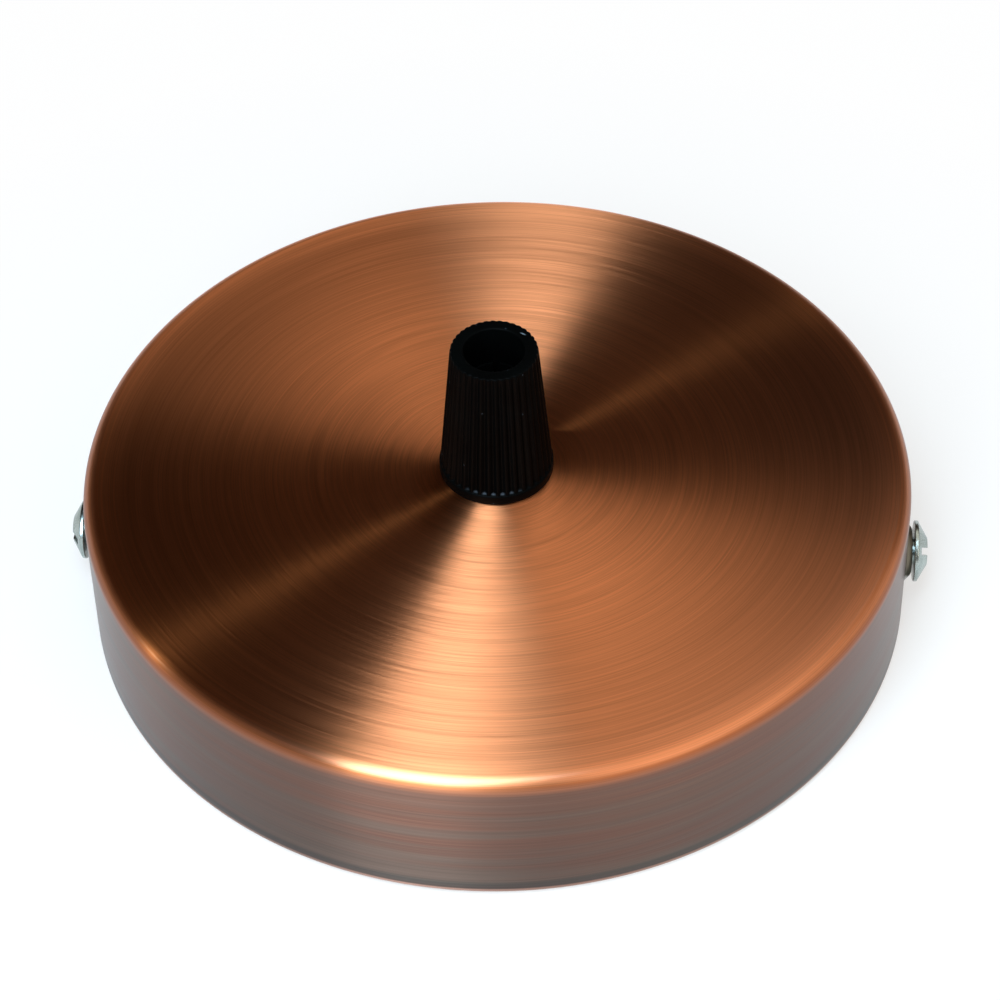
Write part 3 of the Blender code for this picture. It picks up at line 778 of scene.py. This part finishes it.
def canopy_cup():
    """Drawn cup: flat floor, rounded corner, straight wall, turned-in rim, and two pressed dimples."""
    corner_radius = CUP_CORNER_INSIDE + SHEET
    corner = (CUP_RADIUS - corner_radius, CUP_HEIGHT - corner_radius)
    rim = (CUP_RADIUS - RIM_TURN, RIM_TURN)
    wall_step = 0.001
    floor_step = 0.006
    finer_margin = 0.0012
    outline = run((STEM_HOLE_RADIUS, CUP_HEIGHT), (corner[0], CUP_HEIGHT), floor_step)
    outline += arc(corner, corner_radius, 90, 0, 14)[:-1]
    outline += run((CUP_RADIUS, corner[1]), (CUP_RADIUS, rim[1]), wall_step)
    outline += arc(rim, RIM_TURN, 0, -90, 8)
    outline += [(LIP_RADIUS, 0), (LIP_RADIUS, SHEET)]
    outline += arc(rim, RIM_TURN_INSIDE, -90, 0, 3)[:-1]
    outline += run((CUP_RADIUS - SHEET, rim[1]), (CUP_RADIUS - SHEET, corner[1]), wall_step)
    outline += arc(corner, CUP_CORNER_INSIDE, 0, 90, 8)[:-1]
    outline += run((corner[0], CUP_UNDERSIDE), (STEM_HOLE_RADIUS, CUP_UNDERSIDE), floor_step)
    outline += [(STEM_HOLE_RADIUS, CUP_UNDERSIDE)]
    bm = spun(outline, CUP_SIDES)

    def from_axis(co):
        return sqrt(co.y ** 2 + (co.z - SCREW_HEIGHT) ** 2)

    def on_wall(v):
        r = sqrt(v.co.x ** 2 + v.co.y ** 2)
        return r > CUP_RADIUS - SHEET - SKIN_MARGIN and rim[1] - SAME_POINT < v.co.z < corner[1]

    # Finer faces round the side screws, which are then pressed into dimples
    near = {
        f
        for f in bm.faces
        if abs(f.calc_center_median().x) > CUP_RADIUS / 2
        and from_axis(f.calc_center_median()) < DIMPLE_BASE_RADIUS + finer_margin
        and all(on_wall(v) for v in f.verts)
    }
    edges = [e for e in bm.edges if any(f in near for f in e.link_faces)]
    bmesh.ops.subdivide_edges(bm, edges=edges, cuts=5, use_grid_fill=True)
    for v in bm.verts:
        if not on_wall(v) or abs(v.co.x) < CUP_RADIUS / 2:
            continue
        r = sqrt(v.co.x ** 2 + v.co.y ** 2)
        outside = r > CUP_RADIUS - SHEET / 2
        exact = CUP_RADIUS if outside else CUP_RADIUS - SHEET
        v.co.x *= exact / r
        v.co.y *= exact / r
        d = from_axis(v.co)
        share = min(1.0, max(0.0, (DIMPLE_BASE_RADIUS - d) / (DIMPLE_BASE_RADIUS - DIMPLE_SEAT_RADIUS)))
        share = share * share * (3 - 2 * share)
        seat = (exact + DIMPLE_HEIGHT) * (1 if v.co.x > 0 else -1)
        v.co.x += (seat - v.co.x) * share

    # Holes for the side screws, from the outer skin to the inner one
    holes = [
        f
        for f in bm.faces
        if from_axis(f.calc_center_median()) < HOLE_RADIUS
        and abs(f.calc_center_median().x) > CUP_RADIUS / 2
    ]
    bmesh.ops.delete(bm, geom=holes, context="FACES")
    for side in (1, -1):
        loops = [e for e in bm.edges if e.is_boundary and e.verts[0].co.x * side > 0]
        for v in {v for e in loops for v in e.verts}:
            d = from_axis(v.co)
            v.co.y *= HOLE_RADIUS / d
            v.co.z = SCREW_HEIGHT + (v.co.z - SCREW_HEIGHT) * HOLE_RADIUS / d
        bmesh.ops.bridge_loops(bm, edges=loops)
    return bm


def cord_grip_cap():
    """Tapered cap with a plain collar, round ribs and flutes above it, and a stepped bore."""
    edge = CAP_EDGE
    step = 0.0006
    run_out = COLLAR_TOP + FLUTE_RUN_OUT

    def skin(z):
        return CAP_BASE_RADIUS - (CAP_BASE_RADIUS - CAP_TOP_RADIUS) * (z - CAP_BASE) / (CAP_TOP - CAP_BASE)

    outline = [(CAP_BASE_RADIUS - edge, CAP_BASE)]
    outline += arc((CAP_BASE_RADIUS - edge, CAP_BASE + edge), edge, -60, 0, 2)
    outline += arc((CAP_BASE_RADIUS - edge, COLLAR_TOP - edge), edge, 0, 55, 3)
    outline += run((skin(COLLAR_TOP), COLLAR_TOP), (skin(run_out), run_out), FLUTE_RUN_OUT / 6)
    outline += run((skin(run_out), run_out), (skin(CAP_TOP - edge), CAP_TOP - edge), step)
    outline += arc((CAP_TOP_RADIUS - edge, CAP_TOP - edge), edge, 0, 90, 5)
    outline += arc((CAP_MOUTH_RADIUS + edge, CAP_TOP - edge), edge, 90, 180, 4)
    outline += [
        (CAP_MOUTH_RADIUS, CONE_TOP),
        (CAP_BORE_RADIUS, CONE_FOOT),
        (CAP_BORE_RADIUS, SHOULDER_TOP + FIT_GAP),
        (SHOULDER_RADIUS + FIT_GAP, SHOULDER_TOP + FIT_GAP),
        (SHOULDER_RADIUS + FIT_GAP, CAP_BASE),
    ]
    bm = spun(outline, FLUTES * FLUTE_POINTS)

    # Flutes in the outer skin: they run out round above the collar, and grow shallow near the rim
    for v in bm.verts:
        r = sqrt(v.co.x ** 2 + v.co.y ** 2)
        if v.co.z <= COLLAR_TOP + SAME_POINT or r < skin(v.co.z) - 2 * edge:
            continue
        height = (v.co.z - COLLAR_TOP) / (CAP_TOP - COLLAR_TOP)
        depth = FLUTE_FOOT_DEPTH + (FLUTE_TOP_DEPTH - FLUTE_FOOT_DEPTH) * height
        valley = (0.5 - 0.5 * cos(FLUTES * atan2(v.co.y, v.co.x))) ** FLUTE_EXPONENT
        rise = min(1.0, (v.co.z - COLLAR_TOP) / FLUTE_RUN_OUT)
        off_rim = (CAP_TOP - v.co.z) / FLUTE_FADE
        faded = min(1.0, FLUTE_SHARE_AT_RIM + (1 - FLUTE_SHARE_AT_RIM) * off_rim)
        reach = faded * sqrt(rise * (2 - rise))
        scale = (r - depth * valley * reach) / r
        v.co.x *= scale
        v.co.y *= scale
    return bm


def cord_grip_nipple():
    """Hollow stem with a shoulder, threaded above it for the cap and below it for the nut."""
    foot = CUP_UNDERSIDE - STEM_REACH
    chamfer = END_CHAMFER
    fine = GRIP_PITCH / 10
    pitch, depth = GRIP_PITCH, GRIP_THREAD_DEPTH
    outline = [(CORD_BORE_RADIUS, foot), (STEM_RADIUS - chamfer, foot)]
    outline += run((STEM_RADIUS, foot + chamfer), (STEM_RADIUS, CUP_UNDERSIDE), fine)
    outline += [
        (STEM_RADIUS, CUP_UNDERSIDE),
        (STEM_RADIUS, CAP_BASE),
        (SHOULDER_RADIUS, CAP_BASE),
        (SHOULDER_RADIUS, SHOULDER_TOP),
    ]
    outline += run((CAP_THREAD_RADIUS, SHOULDER_TOP), (CAP_THREAD_RADIUS, NIPPLE_TOP - chamfer), fine)
    outline += [
        (CAP_THREAD_RADIUS, NIPPLE_TOP - chamfer),
        (CAP_THREAD_RADIUS - chamfer, NIPPLE_TOP),
        (CORD_BORE_RADIUS, NIPPLE_TOP),
    ]
    bm = spun(outline, STEM_SIDES)
    cut_thread(bm, STEM_RADIUS, foot - pitch, CUP_UNDERSIDE - FIT_GAP, pitch, depth)
    cut_thread(bm, CAP_THREAD_RADIUS, SHOULDER_TOP + chamfer, NIPPLE_TOP + pitch, pitch, depth)
    return bm


def cord_clamp_ring():
    """Split ring whose fingers the cap's cone closes on the cord."""
    outline = [
        (CORD_BORE_RADIUS, CLAMP_FOOT),
        (CAP_BORE_RADIUS - CONE_GAP, CLAMP_FOOT),
        (CAP_BORE_RADIUS - CONE_GAP, CONE_FOOT),
        (CAP_MOUTH_RADIUS - CONE_GAP, CONE_TOP),
        (CORD_BORE_RADIUS, CONE_TOP),
    ]
    # The first slot splits the ring all the way down, and the others stop above its foot
    slots = bmesh.new()
    for i in range(CLAMP_SLOTS):
        low = CLAMP_FOOT - OVERRUN if i == 0 else CLAMP_FOOT + CLAMP_ROOT
        high = CONE_TOP + OVERRUN
        size = (CAP_BORE_RADIUS, CLAMP_SLOT_WIDTH, high - low)
        middle = (CORD_BORE_RADIUS / 2 + size[0] / 2, 0, (low + high) / 2)
        box(slots, size, middle, 2 * pi * i / CLAMP_SLOTS)
    return combined(spun(outline, CLAMP_SIDES), slots, "DIFFERENCE")


def lock_washer():
    """Flat ring with twisted teeth round its outside."""
    foot = WASHER_TOP - WASHER_THICKNESS
    root = WASHER_RADIUS - WASHER_TOOTH
    outline = [(STEM_HOLE_RADIUS, foot)]
    outline += run((root, foot), (WASHER_RADIUS, foot), WASHER_TOOTH / 2)
    outline += [(WASHER_RADIUS, foot)]
    outline += run((WASHER_RADIUS, WASHER_TOP), (root, WASHER_TOP), WASHER_TOOTH / 2)
    outline += [(root, WASHER_TOP), (STEM_HOLE_RADIUS, WASHER_TOP)]
    bm = spun(outline, WASHER_TEETH * WASHER_TOOTH_STEPS)
    for v in bm.verts:
        r = sqrt(v.co.x ** 2 + v.co.y ** 2)
        if r < root + SAME_POINT:
            continue
        place = (atan2(v.co.y, v.co.x) / (2 * pi) * WASHER_TEETH) % 1.0
        out = (r - root) / WASHER_TOOTH
        if place > WASHER_TOOTH_SHARE:
            scale = (root + (r - root) * WASHER_ROOT_STEP) / r
            v.co.x *= scale
            v.co.y *= scale
        else:
            v.co.z += WASHER_TWIST * out * (1 - 4 * place)
    return bm


def hex_nut():
    """Thin hex nut with its corners turned down and its bore countersunk on both faces."""
    foot = NUT_TOP - NUT_THICKNESS
    corner = NUT_FLAT / cos(pi / 6)
    bm = bmesh.new()
    cylinder(bm, corner, foot, NUT_TOP, 6)
    drop = (corner - NUT_FLAT) * NUT_CORNER_DROP
    rounder = [
        (0, foot),
        (NUT_FLAT - NUT_MARGIN, foot),
        (corner + NUT_MARGIN, foot + drop),
        (corner + NUT_MARGIN, NUT_TOP - drop),
        (NUT_FLAT - NUT_MARGIN, NUT_TOP),
        (0, NUT_TOP),
    ]
    bm = combined(bm, spun(rounder, NUT_SIDES, closed=False), "INTERSECT")
    flared = STEM_HOLE_RADIUS + END_CHAMFER + OVERRUN
    bore = [
        (0, foot - OVERRUN),
        (flared, foot - OVERRUN),
        (STEM_HOLE_RADIUS, foot + END_CHAMFER),
        (STEM_HOLE_RADIUS, NUT_TOP - END_CHAMFER),
        (flared, NUT_TOP + OVERRUN),
        (0, NUT_TOP + OVERRUN),
    ]
    return combined(bm, spun(bore, NUT_SIDES, closed=False), "DIFFERENCE")


def mounting_crossbar():
    """Folded strip with tapped collars for the side screws and the earth screw, a hole and two slots."""
    bend = (BAR_REACH - BAR_BEND, BAR_BEND)
    half = arc(bend, BAR_BEND, -90, 0, 12)
    half += [(BAR_REACH, BAR_TAB_TOP), (BAR_REACH - BAR_THICKNESS, BAR_TAB_TOP)]
    half += arc(bend, BAR_BEND_INSIDE, 0, -90, 12)
    section = half + [(-x, z) for x, z in reversed(half)]
    bm = bmesh.new()
    face = bm.faces.new([bm.verts.new((x, -BAR_WIDTH / 2, z)) for x, z in section])
    raised = bmesh.ops.extrude_face_region(bm, geom=[face], use_keep_orig=True)["geom"]
    moved = [v for v in raised if isinstance(v, bmesh.types.BMVert)]
    bmesh.ops.translate(bm, verts=moved, vec=(0, BAR_WIDTH, 0))
    tips = [
        e
        for e in bm.edges
        if all(abs(v.co.z - BAR_TAB_TOP) < SAME_POINT for v in e.verts)
        and abs(e.verts[0].co.y - e.verts[1].co.y) < SAME_POINT
    ]
    round_edges(bm, tips, BAR_TAB_CORNER, 12)
    bmesh.ops.recalc_face_normals(bm, faces=bm.faces)
    round_edges(bm, sharp_edges(bm), STRIP_ROUNDING, 2)

    inner = BAR_REACH - BAR_THICKNESS
    end = inner - BAR_COLLAR_HEIGHT
    wall = HOLE_RADIUS + BAR_COLLAR_WALL
    buried = BAR_THICKNESS / 2
    right = Matrix.Translation((0, 0, SCREW_HEIGHT)) @ Matrix.Rotation(radians(90), 4, "Y")
    left = Matrix.Translation((0, 0, SCREW_HEIGHT)) @ Matrix.Rotation(radians(-90), 4, "Y")
    earth = Matrix.Translation((EARTH_PLACE, 0, 0))
    collars = bmesh.new()
    for matrix in (right, left):
        cylinder(collars, wall, end, inner + buried, COLLAR_SIDES, matrix)
    cylinder(collars, wall, buried, EARTH_COLLAR_TOP, COLLAR_SIDES, earth)
    bm = combined(bm, collars, "UNION")
    holes = bmesh.new()
    for matrix in (right, left):
        cylinder(holes, HOLE_RADIUS, end - OVERRUN, BAR_REACH + OVERRUN, COLLAR_SIDES, matrix)
    cylinder(holes, HOLE_RADIUS, -OVERRUN, EARTH_COLLAR_TOP + OVERRUN, COLLAR_SIDES, earth)
    cylinder(holes, BAR_HOLE_RADIUS, -OVERRUN, BAR_THICKNESS + OVERRUN, BAR_HOLE_SIDES)
    reach = (BAR_SLOT_LENGTH - BAR_SLOT_WIDTH) / 2
    slot = arc((reach, 0), BAR_SLOT_WIDTH / 2, -90, 90, 24)
    slot += arc((-reach, 0), BAR_SLOT_WIDTH / 2, 90, 270, 24)
    for place in (BAR_SLOT_PLACE, -BAR_SLOT_PLACE):
        prism(holes, [(place + x, y) for x, y in slot], -OVERRUN, BAR_THICKNESS + OVERRUN)
    return combined(bm, holes, "DIFFERENCE")


def slotted_screw(head_radius, head_height, length, turn):
    """Screw along its own Z with a slotted head above the origin and a rolled thread below it.

    The head has a flat face, sloping sides and a short upright edge.
    """
    chamfer = END_CHAMFER
    under = HEAD_UNDER_CHAMFER
    face = head_radius * HEAD_FACE_SHARE
    height = head_height - FACE_DROP
    slope = degrees(atan2(head_radius - face, height - HEAD_EDGE))
    edge = HEAD_FACE_EDGE
    outline = [(0, height)]
    outline += arc((face, height - edge), edge, 90, 90 - slope, 4)
    outline += arc((head_radius - HEAD_ROUNDING, HEAD_EDGE), HEAD_ROUNDING, 90 - slope, 0, 6)
    outline += [(head_radius, under), (head_radius - under, 0)]
    outline += run((SCREW_THREAD_RADIUS, 0), (SCREW_THREAD_RADIUS, chamfer - length), SCREW_PITCH / 8)
    outline += [
        (SCREW_THREAD_RADIUS, chamfer - length),
        (SCREW_THREAD_RADIUS - chamfer, -length),
        (0, -length),
    ]
    bm = spun(outline, SCREW_SIDES, closed=False)
    end = -length - SCREW_PITCH
    cut_thread(bm, SCREW_THREAD_RADIUS, end, -SCREW_NECK, SCREW_PITCH, SCREW_THREAD_DEPTH)
    slot = bmesh.new()
    top = head_height + OVERRUN
    floor = head_height - SLOT_DEPTH
    size = (2 * head_radius + OVERRUN, SLOT_WIDTH, top - floor)
    box(slot, size, (0, 0, (top + floor) / 2), radians(turn))
    return combined(bm, slot, "DIFFERENCE")


def placed(bm, location, rotation=Matrix.Identity(3)):
    """bm turned, and then moved to its place."""
    bm.transform(Matrix.Translation(location) @ rotation.to_4x4())
    return bm


def earth_clamp_plate():
    """Square plate with rounded corners and one edge turned down."""
    bm = bmesh.new()
    box(bm, (PLATE_SIDE, PLATE_SIDE, PLATE_THICKNESS), (0, 0, PLATE_THICKNESS / 2))
    upright = [e for e in bm.edges if abs(e.verts[0].co.z - e.verts[1].co.z) > SAME_POINT]
    round_edges(bm, upright, PLATE_THICKNESS, 6)
    round_edges(bm, sharp_edges(bm), STRIP_ROUNDING, 2)
    lip = bmesh.new()
    top = PLATE_THICKNESS / 2
    size = (PLATE_THICKNESS, PLATE_LIP_LENGTH, top + PLATE_LIP)
    box(lip, size, (PLATE_SIDE / 2 - size[0] / 2, 0, (top - PLATE_LIP) / 2))
    bm = combined(bm, lip, "UNION")
    hole = bmesh.new()
    cylinder(hole, HOLE_RADIUS, -OVERRUN, PLATE_THICKNESS + OVERRUN, PLATE_HOLE_SIDES)
    bm = combined(bm, hole, "DIFFERENCE")
    return placed(bm, (EARTH_PLACE, 0, PLATE_FOOT), Matrix.Rotation(radians(PLATE_TURN), 3, "Z"))


def build_pieces():
    """Every piece with its body and its material."""
    copper = copper_finish()
    # Moulded nylon: deep black and nearly matt, with the mould's faint grain, pale dust, a scuff and a
    # painted highlight on the flute feet
    nylon = plain_finish(
        "black_moulded_nylon",
        ("#020202", "#030404"),
        grain_mm=0.15,
        metallic=0.0,
        roughness=(0.38, 0.52),
        bump_mm=0.010,
        specular=0.018,
        wear_and_highlight_colour="#5C666F",
        wear_and_highlight=cap_wear_and_highlight,
    )
    # Zinc plate, blue passivated: bright grey metal with a cold tint, cloudy in patches
    zinc = plain_finish(
        "blue_zinc_plated_steel",
        ("#8C9997", "#B8C2BF"),
        grain_mm=0.12,
        metallic=1.0,
        roughness=(0.18, 0.32),
        bump_mm=0.004,
    )
    # Turned brass: warm yellow metal, a little cloudy
    brass = plain_finish(
        "bright_brass",
        ("#C39A4E", "#DDBB74"),
        grain_mm=0.12,
        metallic=1.0,
        roughness=(0.20, 0.32),
        bump_mm=0.004,
    )

    piece(canopy_cup(), "canopy_cup", "canopy", copper)
    piece(cord_grip_cap(), "cord_grip_cap", "grip_cap", nylon, 40)
    piece(cord_grip_nipple(), "cord_grip_nipple", "canopy", nylon)
    piece(cord_clamp_ring(), "cord_clamp_ring", "clamp_ring", nylon)
    piece(lock_washer(), "lock_washer", "canopy", zinc)
    piece(hex_nut(), "hex_nut", "canopy", zinc)
    piece(mounting_crossbar(), "mounting_crossbar", "canopy", zinc)
    # Each side screw points inwards, with its head's own Z pointing out along X
    right = Matrix(((0, 0, 1), (1, 0, 0), (0, 1, 0)))
    left = Matrix(((0, 0, -1), (1, 0, 0), (0, -1, 0)))
    for name, body, turn, side, way in (
        ("side_screw_right", "screw_right", SLOT_TURN_RIGHT, 1, right),
        ("side_screw_left", "screw_left", SLOT_TURN_LEFT, -1, left),
    ):
        screw = slotted_screw(SCREW_HEAD_RADIUS, SCREW_HEAD_HEIGHT, SCREW_LENGTH, turn)
        piece(placed(screw, (side * HEAD_SEAT, 0, SCREW_HEIGHT), way), name, body, zinc)
    piece(earth_clamp_plate(), "earth_clamp_plate", "canopy", brass)
    screw = slotted_screw(EARTH_HEAD_RADIUS, EARTH_HEAD_HEIGHT, EARTH_SEAT - FIT_GAP, EARTH_SLOT_TURN)
    piece(placed(screw, (EARTH_PLACE, 0, EARTH_SEAT)), "earth_screw", "screw_earth", brass)


# Studio

def build_floor():
    """A pale floor that sweeps up into a low backdrop all round.

    The camera, gloss and glass see it near white, and it keeps the cup's shadow. It lies just under
    the cup's rim, so that the two don't share a plane.
    """
    flat_reach = 2.5
    sweep = 0.5
    drop = 0.0002
    outline = [(0, -drop), (flat_reach, -drop)]
    outline += arc((flat_reach, sweep), sweep + drop, -90, 0, 12)[1:]
    floor = new_object(spun(outline, 96, closed=False), "floor")
    floor.data.shade_smooth()
    mat, tree = new_material("pale_studio_floor")
    path = node(tree, "ShaderNodeLightPath").outputs
    seen = node(
        tree, "ShaderNodeMath", {0: path["Is Camera Ray"], 1: path["Is Glossy Ray"]}, operation="MAXIMUM"
    ).outputs[0]
    seen = node(
        tree, "ShaderNodeMath", {0: seen, 1: path["Is Transmission Ray"]}, operation="MAXIMUM"
    ).outputs[0]
    # Near the cup more of the paint shows, and with it the shadow
    coords = node(tree, "ShaderNodeTexCoord").outputs["Object"]
    away = node(tree, "ShaderNodeVectorMath", {0: coords}, operation="LENGTH").outputs["Value"]
    glow_share = node(
        tree,
        "ShaderNodeMapRange",
        {"Value": away, "From Min": CUP_RADIUS, "From Max": 0.13, "To Min": 0.60, "To Max": 0.97},
    ).outputs[0]
    share = node(tree, "ShaderNodeMath", {0: seen, 1: glow_share}, operation="MULTIPLY").outputs[0]
    paint = node(tree, "ShaderNodeBsdfDiffuse", {"Color": srgb("#ECEAE8")}).outputs[0]
    glow = node(tree, "ShaderNodeEmission", {"Color": (1, 1, 1, 1), "Strength": 1.0}).outputs[0]
    both = node(tree, "ShaderNodeMixShader", {0: share, 1: paint, 2: glow}).outputs[0]
    node(tree, "ShaderNodeOutputMaterial", {"Surface": both})
    floor.data.materials.append(mat)


def add_lamp(name, azimuth, elevation, distance, roll, size, radiance, colour):
    """A softbox that faces the cup, at an azimuth from X and an elevation, in degrees and metres.

    radiance is what its face sends out, whatever its size.
    """
    a, e = radians(azimuth), radians(elevation)
    away = Vector((cos(e) * cos(a), cos(e) * sin(a), sin(e)))
    level = Vector((0, 0, 1)).cross(away).normalized()
    upright = away.cross(level)
    turn = Matrix((level, upright, away)).transposed().to_4x4()
    data = bpy.data.lights.new(name, "AREA")
    data.shape = "RECTANGLE"
    data.size, data.size_y = size
    data.energy = radiance * pi * size[0] * size[1]
    data.color = colour
    ob = bpy.data.objects.new(name, data)
    place = Matrix.Translation(away * distance + Vector((0, 0, CUP_HEIGHT)))
    ob.matrix_world = place @ turn @ Matrix.Rotation(radians(roll), 4, "Z")
    ob.visible_camera = False
    bpy.context.scene.collection.objects.link(ob)


def build_studio():
    """Floor, four lamps and a dim warm room, placed so that the cup shows the photo's wedges of light."""
    build_floor()
    add_lamp(
        "key_softbox",
        azimuth=251.7,
        elevation=52.1,
        distance=0.478,
        roll=-3.3,
        size=(0.235, 0.580),
        radiance=10.0,
        colour=(0.80, 1.01, 1.18),
    )
    add_lamp(
        "side_softbox",
        azimuth=-17.5,
        elevation=60.0,
        distance=0.375,
        roll=33.8,
        size=(0.932, 0.254),
        radiance=1.02,
        colour=(1.0, 0.93, 0.80),
    )
    add_lamp(
        "strip_lamp",
        azimuth=179.3,
        elevation=27.1,
        distance=1.249,
        roll=19.6,
        size=(0.032, 0.144),
        radiance=42.0,
        colour=(1.0, 1.0, 0.74),
    )
    add_lamp(
        "low_panel",
        azimuth=-20.0,
        elevation=33.0,
        distance=1.0,
        roll=0.0,
        size=(2.2, 0.60),
        radiance=0.62,
        colour=(1.0, 0.94, 0.84),
    )
    world = bpy.data.worlds.new("dim_room")
    world.use_nodes = True
    world.node_tree.nodes["Background"].inputs["Color"].default_value = (1.0, 0.5, 0.15, 1)
    world.node_tree.nodes["Background"].inputs["Strength"].default_value = 0.026
    bpy.context.scene.world = world
    bpy.context.scene.view_settings.view_transform = "Standard"


def build_camera():
    """Camera fitted to the outline in the photo; its azimuth is from -Y, towards X."""
    azimuth, elevation, roll = radians(4.0), radians(44.964), radians(-1.273)
    distance = 0.49797
    aim = Vector((0.000845, -0.006798, CUP_HEIGHT))
    away = Vector((cos(elevation) * sin(azimuth), -cos(elevation) * cos(azimuth), sin(elevation)))
    place = Vector((0, 0, CUP_HEIGHT)) + away * distance
    data = bpy.data.cameras.new("camera")
    data.lens = 123.63
    data.sensor_width = 36.0
    data.clip_start = 0.01
    camera = bpy.data.objects.new("camera", data)
    turn = (aim - place).to_track_quat("-Z", "Y").to_matrix().to_4x4()
    camera.matrix_world = Matrix.Translation(place) @ turn @ Matrix.Rotation(roll, 4, "Z")
    bpy.context.scene.collection.objects.link(camera)
    bpy.context.scene.camera = camera


build_camera()
build_studio()
build_pieces()

bpy.context.view_layer.update()
